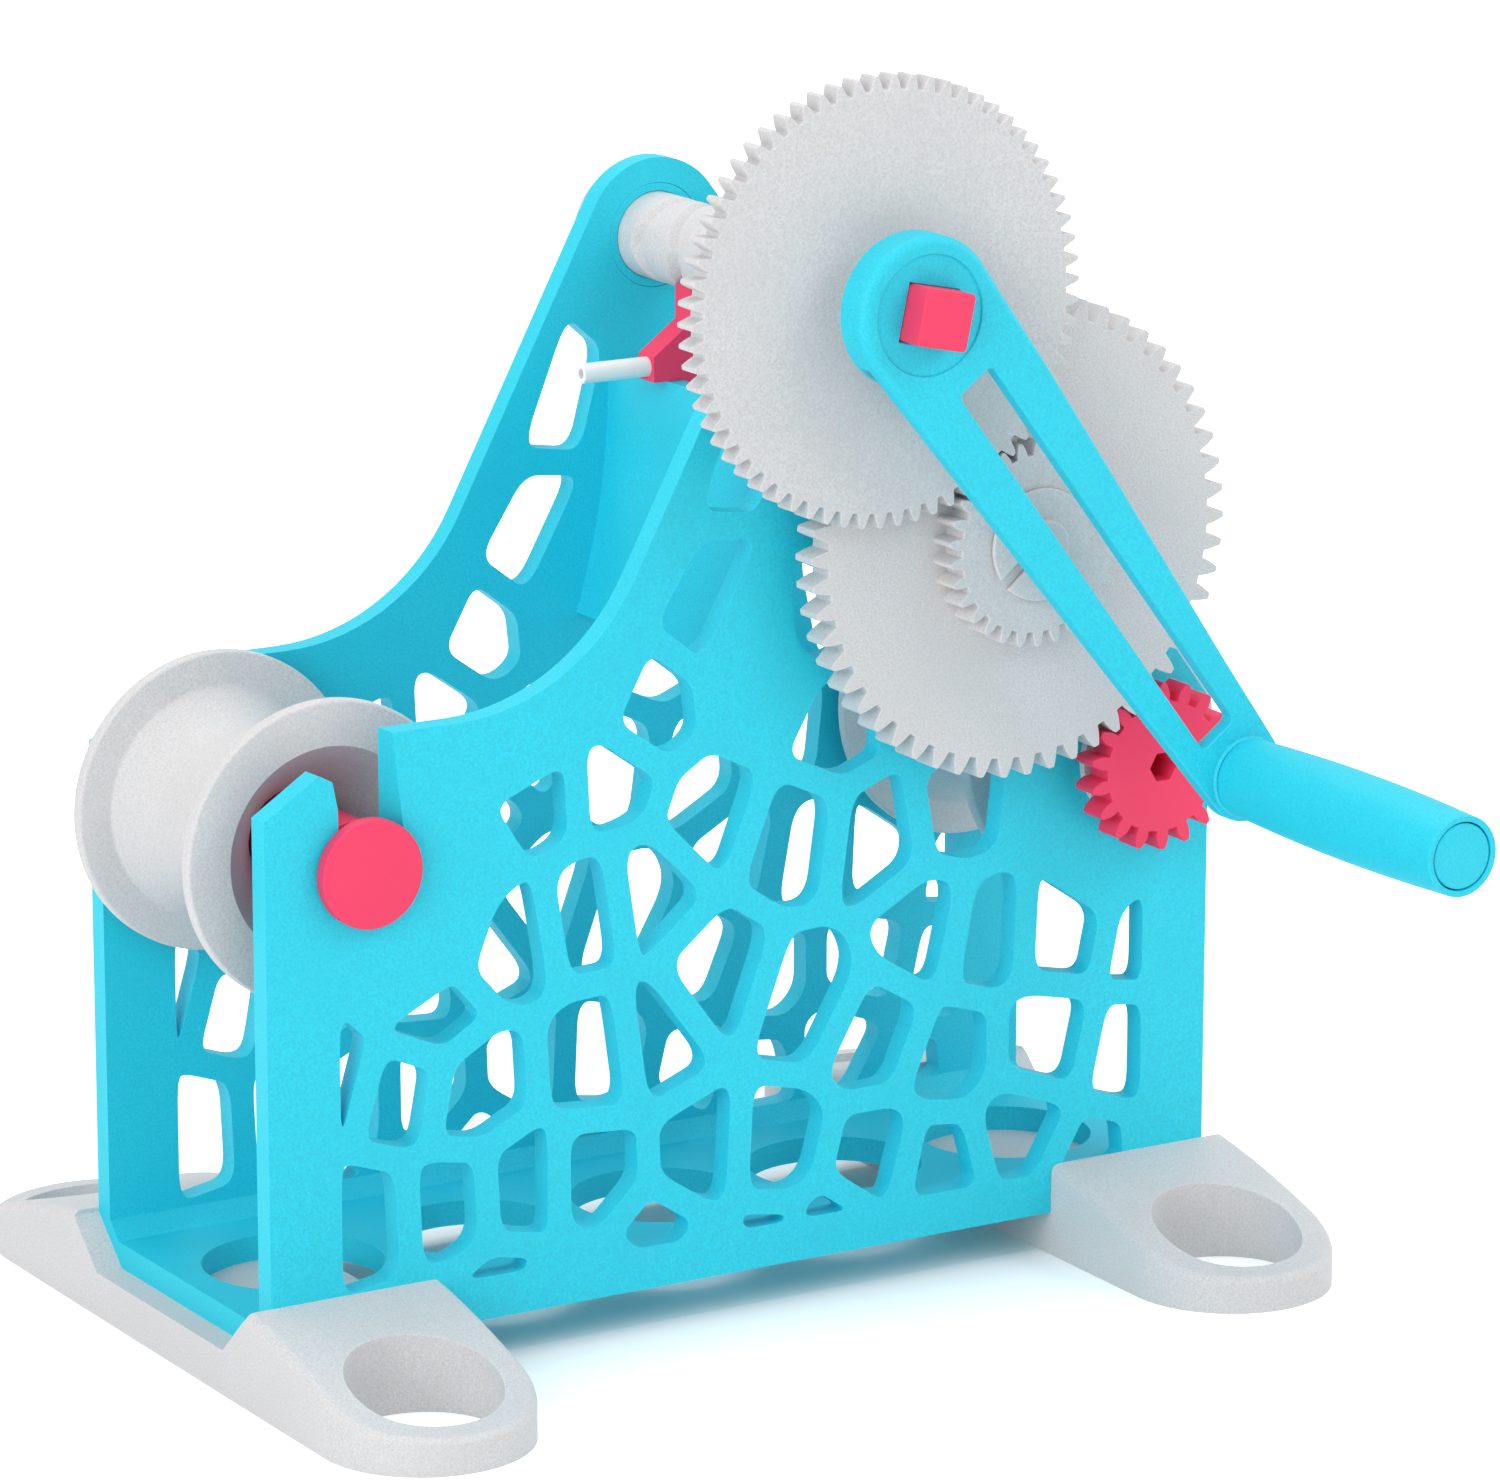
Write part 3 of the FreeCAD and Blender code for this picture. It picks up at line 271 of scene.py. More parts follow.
def sintered_nylon(name, base, roughness, glow, grain, edge_highlight):
    """Nylon powder fused by a laser: a dead matt skin of fine grit with faint clouds in the dye.

    The grit is 0.1 mm in life.  It is drawn at 0.5 mm, because finer grit doesn't show from a step away.
    Grain is how far the grit's shade strays from the colour. The edges are painted paler, a painted highlight
    that stands in for light catching them, and the last argument sets how much.
    """
    known = bpy.data.materials.get(name)
    if known:
        return known
    grit = 0.5 * MM
    cloud = 22.0 * MM
    highlight_width = 0.7 * MM
    material = bpy.data.materials.new(name)
    material.use_nodes = True
    material.diffuse_color = base
    tree = material.node_tree
    tree.nodes.clear()
    place = add(tree, "ShaderNodeTexCoord")
    speckle = add(tree, "ShaderNodeTexNoise", {"Vector": place.outputs["Object"]},
                  {"Scale": 1 / grit, "Detail": 2.0, "Roughness": 0.6})
    clouds = add(tree, "ShaderNodeTexNoise", {"Vector": place.outputs["Object"]},
                 {"Scale": 1 / cloud, "Detail": 3.0, "Roughness": 0.5})
    grains = add(tree, "ShaderNodeMapRange", {"Value": speckle.outputs["Fac"]},
                 {"From Min": 0.3, "From Max": 0.7})
    gritty = add(tree, "ShaderNodeMix", {"Factor": grains.outputs["Result"]},
                 {"A": shaded(base, 1.0 - grain), "B": shaded(base, 1.0 + grain)}, data_type="RGBA")
    drift = add(tree, "ShaderNodeMapRange", {"Value": clouds.outputs["Fac"]},
                {"From Min": 0.35, "From Max": 0.65, "To Min": 0.0, "To Max": 0.35})
    dyed = add(tree, "ShaderNodeMix", {"Factor": drift.outputs["Result"], "A": gritty.outputs["Result"]},
               {"B": shaded(base, 0.93)}, data_type="RGBA")
    # Painted highlight: the edges that the Bevel node finds are painted paler, standing in for light catching
    # them.
    softened = add(tree, "ShaderNodeBevel", values={"Radius": highlight_width}, samples=4)
    skin = add(tree, "ShaderNodeNewGeometry")
    turn = add(tree, "ShaderNodeVectorMath", {0: softened.outputs["Normal"], 1: skin.outputs["Normal"]},
               operation="DOT_PRODUCT")
    highlight_share = add(tree, "ShaderNodeMapRange", {"Value": turn.outputs["Value"]},
              {"From Min": 0.995, "From Max": 0.85, "To Min": 0.0, "To Max": 0.4})
    highlighted = add(tree, "ShaderNodeMix", {"Factor": highlight_share.outputs["Result"], "A": dyed.outputs["Result"]},
                 {"B": shaded(base, 1.0 + edge_highlight)}, data_type="RGBA")
    matt = add(tree, "ShaderNodeMapRange", {"Value": speckle.outputs["Fac"]},
               {"To Min": roughness - 0.08, "To Max": roughness + 0.08})
    bump = add(tree, "ShaderNodeBump", {"Height": speckle.outputs["Fac"]},
               {"Strength": 0.35, "Distance": 0.06 * MM})
    shader = add(tree, "ShaderNodeBsdfPrincipled",
                 {"Base Color": highlighted.outputs["Result"], "Roughness": matt.outputs["Result"],
                  "Normal": bump.outputs["Normal"]},
                 {"IOR": 1.53, "Subsurface Weight": glow, "Subsurface Scale": 1.5 * MM})
    add(tree, "ShaderNodeOutputMaterial", {"Surface": shader.outputs["BSDF"]})
    return material


def turquoise_nylon(scene):
    """Nylon dyed turquoise after sintering, which gives an even, slightly chalky colour."""
    base = tuple(scene.winder_colours.turquoise)
    return sintered_nylon("turquoise_sintered_nylon", base, roughness=0.6, glow=0.05, grain=0.13, edge_highlight=0.15)


def natural_nylon(scene):
    """Undyed nylon, a warm light grey that lets a little light in."""
    base = tuple(scene.winder_colours.natural)
    return sintered_nylon("natural_sintered_nylon", base, roughness=0.62, glow=0.12, grain=0.13, edge_highlight=0.25)


def coral_nylon(scene):
    """Nylon dyed coral, so deep in the dye that the grit hardly shows."""
    base = tuple(scene.winder_colours.coral)
    return sintered_nylon("coral_sintered_nylon", base, roughness=0.58, glow=0.05, grain=0.02, edge_highlight=0.1)


def fluoropolymer_tube(scene):
    """Extruded fluoropolymer tube: waxy, white and a little see-through, with faint draw lines."""
    name = "extruded_fluoropolymer"
    known = bpy.data.materials.get(name)
    if known:
        return known
    draw_line = 0.4 * MM
    base = tuple(scene.winder_colours.tube)
    material = bpy.data.materials.new(name)
    material.use_nodes = True
    material.diffuse_color = base
    tree = material.node_tree
    tree.nodes.clear()
    place = add(tree, "ShaderNodeTexCoord")
    along = add(tree, "ShaderNodeMapping", {"Vector": place.outputs["Object"]}, {"Scale": (0.02, 1.0, 1.0)})
    lines = add(tree, "ShaderNodeTexNoise", {"Vector": along.outputs["Vector"]},
                {"Scale": 1 / draw_line, "Detail": 2.0})
    tint = add(tree, "ShaderNodeMix", {"Factor": lines.outputs["Fac"]},
               {"A": shaded(base, 0.93), "B": base}, data_type="RGBA")
    bump = add(tree, "ShaderNodeBump", {"Height": lines.outputs["Fac"]},
               {"Strength": 0.2, "Distance": 0.03 * MM})
    shader = add(tree, "ShaderNodeBsdfPrincipled",
                 {"Base Color": tint.outputs["Result"], "Normal": bump.outputs["Normal"]},
                 {"Roughness": 0.32, "IOR": 1.38, "Subsurface Weight": 0.3, "Subsurface Scale": 1.0 * MM})
    add(tree, "ShaderNodeOutputMaterial", {"Surface": shader.outputs["BSDF"]})
    return material


def seen_directly(tree):
    """1 for a ray from the camera, a reflection or glass, and 0 for light on its way to a surface."""
    path = add(tree, "ShaderNodeLightPath")
    mirrored = add(tree, "ShaderNodeMath",
                   {0: path.outputs["Is Glossy Ray"], 1: path.outputs["Is Transmission Ray"]},
                   operation="ADD")
    direct = add(tree, "ShaderNodeMath", {0: path.outputs["Is Camera Ray"], 1: mirrored.outputs["Value"]},
                 operation="ADD", use_clamp=True)
    return direct.outputs["Value"]


def studio_paper(scene):
    """Seamless white paper: it takes the shadow and the bounce near the winder, and glows farther off."""
    studio = scene.winder_studio
    base = tuple(scene.winder_colours.paper)
    fibre = 2.0 * MM
    low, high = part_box("frame_floor")
    material = bpy.data.materials.new("seamless_paper")
    material.use_nodes = True
    tree = material.node_tree
    tree.nodes.clear()
    place = add(tree, "ShaderNodeTexCoord")
    fibres = add(tree, "ShaderNodeTexNoise", {"Vector": place.outputs["Object"]}, {"Scale": 1 / fibre})
    tone = add(tree, "ShaderNodeMix", {"Factor": fibres.outputs["Fac"]},
               {"A": shaded(base, 0.99), "B": base}, data_type="RGBA")
    sides = add(tree, "ShaderNodeVectorMath", {0: place.outputs["Object"]}, operation="ABSOLUTE")
    past = add(tree, "ShaderNodeVectorMath", {0: sides.outputs["Vector"]}, {1: (high.x, high.y, 0.0)},
               operation="SUBTRACT")
    outside = add(tree, "ShaderNodeVectorMath", {0: past.outputs["Vector"]}, operation="MAXIMUM")
    away = add(tree, "ShaderNodeVectorMath", {0: outside.outputs["Vector"]}, operation="LENGTH")
    share = add(tree, "ShaderNodeMapRange", {"Value": away.outputs["Value"]}, {"From Max": studio.white})
    fade = add(tree, "ShaderNodeMath", {0: share.outputs["Result"]}, {1: 0.5}, operation="POWER")
    glow = add(tree, "ShaderNodeMath", {0: seen_directly(tree), 1: fade.outputs["Value"]},
               operation="MULTIPLY")
    lit = add(tree, "ShaderNodeBsdfDiffuse", {"Color": tone.outputs["Result"]})
    shine = add(tree, "ShaderNodeEmission", {"Strength": glow.outputs["Value"]}, {"Color": WHITE})
    both = add(tree, "ShaderNodeAddShader", {0: lit.outputs["BSDF"], 1: shine.outputs["Emission"]})
    add(tree, "ShaderNodeOutputMaterial", {"Surface": both.outputs["Shader"]})
    return material


def studio_world(strength):
    """Even white light on the object, and plain white where the camera or a reflection sees it."""
    world = bpy.data.worlds.new("studio_world")
    world.use_nodes = True
    tree = world.node_tree
    tree.nodes.clear()
    level = add(tree, "ShaderNodeMapRange", {"Value": seen_directly(tree)},
                {"To Min": strength, "To Max": 1.0})
    light = add(tree, "ShaderNodeBackground", {"Strength": level.outputs["Result"]}, {"Color": WHITE})
    add(tree, "ShaderNodeOutputWorld", {"Surface": light.outputs["Background"]})
    return world


NYLONS = {
    "turquoise": (turquoise_nylon, "frame_plastic"),
    "natural": (natural_nylon, "grey_plastic"),
    "coral": (coral_nylon, "red_plastic"),
}


# Mesh tools

def link(name, mesh, material):
    """A new object at the origin, with one material."""
    piece = bpy.data.objects.new(name, mesh)
    bpy.context.scene.collection.objects.link(piece)
    mesh.materials.clear()
    mesh.materials.append(material)
    return piece


def seat(piece, body, slot, *nodes):
    """The piece rides on a body and stands for its CAD nodes, which it hides. The slot is not used."""
    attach(piece, body)
    if nodes:
        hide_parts(*nodes)
    return piece


def smooth(mesh, sharp):
    """Smooth shading, broken at the edges that turn further than the given angle."""
    mesh.shade_smooth()
    mesh.set_sharp_from_angle(angle=sharp)


def settle(piece):
    """Replaces a piece's mesh by what its modifiers make of it."""
    bpy.context.view_layer.update()
    graph = bpy.context.evaluated_depsgraph_get()
    settled = bpy.data.meshes.new_from_object(piece.evaluated_get(graph), depsgraph=graph)
    settled.name = piece.name
    piece.modifiers.clear()
    piece.data = settled
    return piece


def soften(piece, edge, sharp, weights=None):
    """Rounds every edge sharper than the given angle and keeps the flats flat.

    Where weights is given, it gives each such edge its share of the width.
    """
    bevel = piece.modifiers.new("edges", "BEVEL")
    bevel.width = edge
    bevel.miter_outer = "MITER_ARC"
    if weights:
        weigh_edges(piece.data, weights, sharp)
        bevel.limit_method = "WEIGHT"
        bevel.segments = 4
        bevel.use_clamp_overlap = False
    else:
        bevel.limit_method = "ANGLE"
        bevel.angle_limit = sharp
        bevel.segments = 2
    piece.data.shade_smooth()
    flats = piece.modifiers.new("flats", "WEIGHTED_NORMAL")
    flats.keep_sharp = False
    flats.weight = 60
    return settle(piece)


def weigh_edges(mesh, weights, sharp):
    """Writes the share that each sharp edge gets of the widest softening."""
    work = bmesh.new()
    work.from_mesh(mesh)
    layer = work.edges.layers.float.new("bevel_weight_edge")
    for edge in work.edges:
        if len(edge.link_faces) == 2 and edge.calc_face_angle() > sharp:
            edge[layer] = weights((edge.verts[0].co + edge.verts[1].co) / 2, edge)
    work.to_mesh(mesh)
    work.free()


def clean(mesh):
    """Welds a mesh's loose triangles and melts them into its flat faces."""
    work = bmesh.new()
    work.from_mesh(mesh)
    bmesh.ops.remove_doubles(work, verts=work.verts, dist=WELD)
    bmesh.ops.dissolve_limit(work, angle_limit=FLAT, verts=work.verts, edges=work.edges)
    work.to_mesh(mesh)
    work.free()
    if mesh.has_custom_normals:
        mesh.normals_split_custom_set([(0.0, 0.0, 0.0)] * len(mesh.loops))


def copied(node, name, material):
    """A CAD node's shape as a piece of its own."""
    mesh = frame["nodes"][node].data.copy()
    clean(mesh)
    return link(name, mesh, material)


def joined(nodes, name, material):
    """Nodes that meet face to face as one piece, without the faces between them."""
    piece = copied(nodes[0], name, material)
    for node in nodes[1:]:
        other = copied(node, node + "_joined", material)
        union = piece.modifiers.new("union", "BOOLEAN")
        union.operation = "UNION"
        union.solver = "EXACT"
        union.object = other
        settle(piece)
        bpy.data.objects.remove(other)
    clean(piece.data)
    return piece


def dress(node, body, nylon, edge, name=None):
    """Puts a copy of a CAD node with softened edges in its place, in one of the nylons."""
    scene = bpy.context.scene
    make, slot = NYLONS[nylon]
    piece = copied(node, name or node + "_printed", make(scene))
    return seat(soften(piece, edge, scene.winder_edges.sharp), body, slot, node)


def rounded(corners, radius, steps=4):
    """A chain of points whose inner corners are rounded, where the sides are long enough."""
    chain = [Vector(corners[0])]
    for before, corner, after in zip(corners, corners[1:], corners[2:]):
        here = Vector(corner)
        back = Vector(before) - here
        ahead = Vector(after) - here
        reach = min(radius, 0.45 * back.length, 0.45 * ahead.length)
        start = here + back.normalized() * reach
        end = here + ahead.normalized() * reach
        for i in range(steps + 1):
            t = i / steps
            chain.append(start * (1 - t) ** 2 + here * 2 * t * (1 - t) + end * t ** 2)
    chain.append(Vector(corners[-1]))
    return chain


def lathe(name, axis, profile, material, sharp, closed=False, steps=128, along="Y"):
    """Turns a chain of (place along the axis, radius) points about an axis.

    A chain that starts and ends on the axis makes a solid, and a closed one makes a ring.
    """
    work = bmesh.new()
    rings = []
    for place, radius in profile:
        if radius < 1e-7:
            rings.append([work.verts.new(turned_point(axis, place, 0.0, 0.0, along))])
        else:
            rings.append([work.verts.new(turned_point(axis, place, radius, 2 * math.pi * i / steps, along))
                          for i in range(steps)])
    pairs = list(zip(rings, rings[1:]))
    if closed:
        pairs.append((rings[-1], rings[0]))
    for first, second in pairs:
        for i in range(steps):
            j = (i + 1) % steps
            corners = [first[i % len(first)], first[j % len(first)], second[j % len(second)],
                       second[i % len(second)]]
            corners = list(dict.fromkeys(corners))
            if len(corners) > 2:
                work.faces.new(corners)
    bmesh.ops.recalc_face_normals(work, faces=work.faces)
    mesh = bpy.data.meshes.new(name)
    work.to_mesh(mesh)
    work.free()
    smooth(mesh, sharp)
    return link(name, mesh, material)


def turned_point(axis, place, radius, turn, along):
    """A point beside an axis along Y, or along X."""
    across = radius * math.cos(turn)
    up = radius * math.sin(turn)
    if along == "Y":
        return Vector((axis.x + across, place, axis.z + up))
    return Vector((place, axis.y + across, axis.z + up))


def centre(node):
    low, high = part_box(node)
    return (low + high) / 2


# Gears

GEAR_INPUTS = {
    "Tooth": "Object",
    "Teeth": "Int",
    "Tip Angle": "Float",
    "Thickness": "Float",
    "Hole Sides": "Int",
    "Hole Radius": "Float",
    "Material": "Material",
}


def involute(turn):
    return math.tan(turn) - turn


def tooth_outline(teeth, module, gears):
    """One tooth from valley to valley, pointing along +X, as points about the gear's centre."""
    pitch_radius = module * teeth / 2
    base_radius = pitch_radius * math.cos(gears.pressure)
    tip_radius = pitch_radius + module
    root_radius = pitch_radius - gears.root * module
    start_radius = max(base_radius, root_radius)
    half_step = math.pi / teeth
    full = math.pi / (2 * teeth) - gears.thinning / (2 * pitch_radius) + involute(gears.pressure)

    def half_angle(radius):
        return full - involute(math.acos(min(1.0, base_radius / radius)))

    def point(radius, turn):
        return Vector((radius * math.cos(turn), radius * math.sin(turn), 0.0))

    flank_steps = 6
    flank = [start_radius + (tip_radius - start_radius) * i / flank_steps for i in range(flank_steps + 1)]
    foot = half_angle(start_radius)
    valley = [point(root_radius, -half_step), point(root_radius, -(half_step + foot) / 2)]
    if start_radius > root_radius:
        valley.append(point(root_radius, -foot))
    rising = valley + [point(radius, -half_angle(radius)) for radius in flank]
    falling = [Vector((p.x, -p.y, 0.0)) for p in reversed(rising)]
    return rising + [point(tip_radius, 0.0)] + falling


def gear_tree():
    """Geometry nodes that set one tooth round a circle, fill the outline and give it thickness."""
    known = bpy.data.node_groups.get("gear")
    if known:
        return known
    tree = bpy.data.node_groups.new("gear", "GeometryNodeTree")
    for name, kind in GEAR_INPUTS.items():
        tree.interface.new_socket(name, in_out="INPUT", socket_type="NodeSocket" + kind)
    tree.interface.new_socket("Geometry", in_out="OUTPUT", socket_type="NodeSocketGeometry")
    given = add(tree, "NodeGroupInput").outputs
    tooth = add(tree, "GeometryNodeObjectInfo", {"Object": given["Tooth"]})
    points = add(tree, "GeometryNodePoints", {"Count": given["Teeth"]})
    index = add(tree, "GeometryNodeInputIndex")
    step = add(tree, "ShaderNodeMath", {1: given["Teeth"]}, {0: 2 * math.pi}, operation="DIVIDE")
    turn = add(tree, "ShaderNodeMath",
               {0: index.outputs["Index"], 1: step.outputs["Value"], 2: given["Tip Angle"]},
               operation="MULTIPLY_ADD")
    spin = add(tree, "ShaderNodeCombineXYZ", {"Z": turn.outputs["Value"]})
    facing = add(tree, "FunctionNodeEulerToRotation", {0: spin.outputs["Vector"]})
    copies = add(tree, "GeometryNodeInstanceOnPoints",
                 {"Points": points.outputs["Points"], "Instance": tooth.outputs["Geometry"],
                  "Rotation": facing.outputs["Rotation"]})
    real = add(tree, "GeometryNodeRealizeInstances", {"Geometry": copies.outputs["Instances"]})
    ring = add(tree, "GeometryNodeMergeByDistance", {"Geometry": real.outputs["Geometry"]},
               {"Distance": 0.005 * MM})
    outline = add(tree, "GeometryNodeMeshToCurve", {"Mesh": ring.outputs["Geometry"]})
    hole = add(tree, "GeometryNodeCurvePrimitiveCircle",
               {"Resolution": given["Hole Sides"], "Radius": given["Hole Radius"]})
    both = add(tree, "GeometryNodeJoinGeometry", {"Geometry": outline.outputs["Curve"]})
    tree.links.new(hole.outputs["Curve"], both.inputs["Geometry"])
    face = add(tree, "GeometryNodeFillCurve", {"Curve": both.outputs["Geometry"]}, mode="NGONS")
    body = add(tree, "GeometryNodeExtrudeMesh",
               {"Mesh": face.outputs["Mesh"], "Offset Scale": given["Thickness"]}, {"Individual": False})
    under = add(tree, "GeometryNodeFlipFaces", {"Mesh": face.outputs["Mesh"]})
    closed = add(tree, "GeometryNodeJoinGeometry", {"Geometry": body.outputs["Mesh"]})
    tree.links.new(under.outputs["Mesh"], closed.inputs["Geometry"])
    welded = add(tree, "GeometryNodeMergeByDistance", {"Geometry": closed.outputs["Geometry"]},
                 {"Distance": WELD})
    final = add(tree, "GeometryNodeRealizeInstances", {"Geometry": welded.outputs["Geometry"]})
    coloured = add(tree, "GeometryNodeSetMaterial",
                   {"Geometry": final.outputs["Geometry"], "Material": given["Material"]})
    add(tree, "NodeGroupOutput", {"Geometry": coloured.outputs["Geometry"]})
    return tree


def make_gear(name, axis, back, thickness, teeth, module, tip, hole, material):
    """A spur gear in the XZ plane, with a round hole of the given radius."""
    scene = bpy.context.scene
    gears = scene.winder_gears
    points = tooth_outline(teeth, module, gears)
    edges = [(i, i + 1) for i in range(len(points) - 1)]
    outline = bpy.data.meshes.new(name + "_tooth")
    outline.from_pydata(points, edges, [])
    tooth = bpy.data.objects.new(name + "_tooth", outline)
    gear = link(name, bpy.data.meshes.new(name), material)
    nodes = gear.modifiers.new("gear", "NODES")
    nodes.node_group = gear_tree()
    inputs = {"Tooth": tooth, "Teeth": teeth, "Tip Angle": tip, "Thickness": thickness,
              "Hole Sides": HOLE_SIDES, "Hole Radius": hole, "Material": material}
    sockets = {item.name: item.identifier for item in nodes.node_group.interface.items_tree
               if item.in_out == "INPUT"}
    for key, value in inputs.items():
        nodes[sockets[key]] = value
    settle(gear)
    facing = Matrix.Rotation(math.radians(90), 4, "X")
    gear.data.transform(Matrix.Translation((axis.x, back, axis.z)) @ facing)
    bpy.data.objects.remove(tooth)
    return soften(gear, scene.winder_edges.gear, scene.winder_edges.sharp)


def meshing_tip(driver_tip, driver_teeth, driven_teeth, direction):
    """The tooth angle of a driven gear whose valley meets the driver's tooth, seen along direction."""
    teeth_ahead = (driver_tip - direction) / (2 * math.pi / driver_teeth)
    driven_step = 2 * math.pi / driven_teeth
    return direction + math.pi + driven_step / 2 - teeth_ahead * driven_step


# Operators

class WINDER_OT_frame(bpy.types.Operator):
    """Gives the pierced frame its softened edges and turquoise nylon"""

    bl_idname = "winder.frame"
    bl_label = "Frame"

    def execute(self, context):
        edges = context.scene.winder_edges
        piece = joined(FRAME_NODES, "frame_printed", turquoise_nylon(context.scene))
        seat(soften(piece, edges.frame, edges.sharp), "stand", "frame_plastic", *FRAME_NODES)
        return {"FINISHED"}


class WINDER_OT_feet(bpy.types.Operator):
    """Gives both feet their softened edges and natural nylon"""

    bl_idname = "winder.feet"
    bl_label = "Feet"

    def execute(self, context):
        for node in ("foot_left", "foot_right"):
            dress(node, "stand", "natural", context.scene.winder_edges.foot)
        return {"FINISHED"}


class WINDER_OT_gears(bpy.types.Operator):
    """Makes the crank gear, the idler's two gears and the take-up gear"""

    bl_idname = "winder.gears"
    bl_label = "Gears"

    def execute(self, context):
        scene = context.scene
        gears = scene.winder_gears
        natural = natural_nylon(scene)
        sharp = scene.winder_edges.sharp
        onward = gears.train + math.pi
        crank_axis = centre("crank_shaft")
        idler_axis = centre("idler_spacer")

        low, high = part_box("crank_gear")
        crank = make_gear("crank_gear_printed", crank_axis, high.y, gears.crank_thick, gears.crank_teeth,
                          gears.fine_module, gears.crank_tip, gears.crank_hole, natural)
        seat(crank, "crank", "grey_plastic", "crank_gear")
        root = high.y - gears.crank_thick + gears.boss_sunk
        section = rounded([(root, gears.boss_bore), (root, gears.boss), (low.y, gears.boss),
                           (low.y, gears.boss_bore), (root, gears.boss_bore)], gears.boss_edge)
        boss = lathe("crank_gear_boss", crank_axis, section, natural, sharp)
        seat(boss, "crank", "grey_plastic")

        low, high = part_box("idler_gear")
        step = high.y - gears.idler_thick + gears.overlap
        large = make_gear("idler_gear_large", idler_axis, high.y, gears.idler_thick, gears.idler_teeth,
                          gears.coarse_module, gears.idler_tip, gears.pin_hole, natural)
        small_tip = meshing_tip(gears.crank_tip, gears.crank_teeth, gears.idler_small_teeth, onward)
        small = make_gear("idler_gear_small", idler_axis, step, step - low.y, gears.idler_small_teeth,
                          gears.fine_module, small_tip, gears.pin_hole, natural)
        seat(large, "idler", "grey_plastic", "idler_gear")
        seat(small, "idler", "grey_plastic")

        dress("take_up_pinion", "take_up", "coral", scene.winder_edges.gear, "take_up_gear_printed")
        return {"FINISHED"}


class WINDER_OT_spools(bpy.types.Operator):
    """Turns the supply spool and the take-up spool"""

    bl_idname = "winder.spools"
    bl_label = "Spools"

    def execute(self, context):
        scene = context.scene
        for node, body in (("supply_spool", "supply_spool"), ("take_up_spool", "take_up")):
            piece = make_spool(node, node + "_turned", scene)
            seat(piece, body, "grey_plastic", node)
        return {"FINISHED"}


def make_spool(node, name, scene):
    """Outside and inside of a hollow spool as one closed ring, front to back and back through the bore."""
    spool = scene.winder_spool
    low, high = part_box(node)
    flange_radius = (high.x - low.x) / 2
    front = low.y + spool.flange
    rear = high.y - spool.flange
    outer = rounded([(low.y, spool.mouth), (low.y, flange_radius), (front, flange_radius),
                     (front, spool.shoulder + spool.root)], spool.rim)
    drum = rounded([(front, spool.shoulder + spool.root), (front, spool.shoulder),
                    (front + spool.slope, spool.barrel), (rear - spool.slope, spool.barrel),
                    (rear, spool.shoulder), (rear, spool.shoulder + spool.root)], 3 * spool.root,
                   CORNER_STEPS)
    far = rounded([(rear, spool.shoulder + spool.root), (rear, flange_radius), (high.y, flange_radius),
                   (high.y, spool.mouth)], spool.rim)
    inner = rounded([(high.y, spool.mouth), (high.y - spool.mouth_depth, spool.bore),
                     (low.y + spool.mouth_depth, spool.bore), (low.y, spool.mouth)], 4 * spool.root,
                    CORNER_STEPS)
    profile = outer[:-1] + drum[:-1] + far[:-1] + inner[:-1]
    return lathe(name, centre(node), profile, natural_nylon(scene), scene.winder_edges.sharp, closed=True,
                 steps=160)


class WINDER_OT_supply_axle(bpy.types.Operator):
    """Turns the supply axle with its flat head and its cap"""

    bl_idname = "winder.supply_axle"
    bl_label = "Supply axle"

    def execute(self, context):
        scene = context.scene
        size = scene.winder_axle
        sharp = scene.winder_edges.sharp
        coral = coral_nylon(scene)
        axis = centre("supply_axle_cap")
        low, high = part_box("supply_axle")
        cap_low, cap_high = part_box("supply_axle_cap")
        head_radius = (cap_high.x - cap_low.x) / 2
        start = low.y + size.head + size.play + size.wall + size.play
        end = cap_low.y - size.play - size.wall - size.play
        outline = [(low.y, size.edge), (low.y, head_radius), (low.y + size.head, head_radius),
                   (low.y + size.head, size.neck), (start, size.neck), (start, size.shaft), (end, size.shaft),
                   (end, size.neck), (cap_low.y, size.neck), (cap_low.y, size.stub), (high.y, size.stub),
                   (high.y, size.edge)]
        profile = [(low.y, 0.0)] + rounded(outline, size.edge) + [(high.y, 0.0)]
        axle = lathe("supply_axle_turned", axis, profile, coral, sharp)
        seat(axle, "supply_axle", "red_plastic", "supply_axle")
        fit = 0.05 * MM
        outline = [(high.y + fit, 0.0), (high.y + fit, size.stub + fit), (cap_low.y, size.stub + fit),
                   (cap_low.y, head_radius), (cap_high.y, head_radius), (cap_high.y, size.edge)]
        profile = rounded(outline, size.edge) + [(cap_high.y, 0.0)]
        cap = lathe("supply_axle_cap_turned", axis, profile, coral, sharp)
        seat(cap, "supply_axle", "red_plastic", "supply_axle_cap")
        return {"FINISHED"}


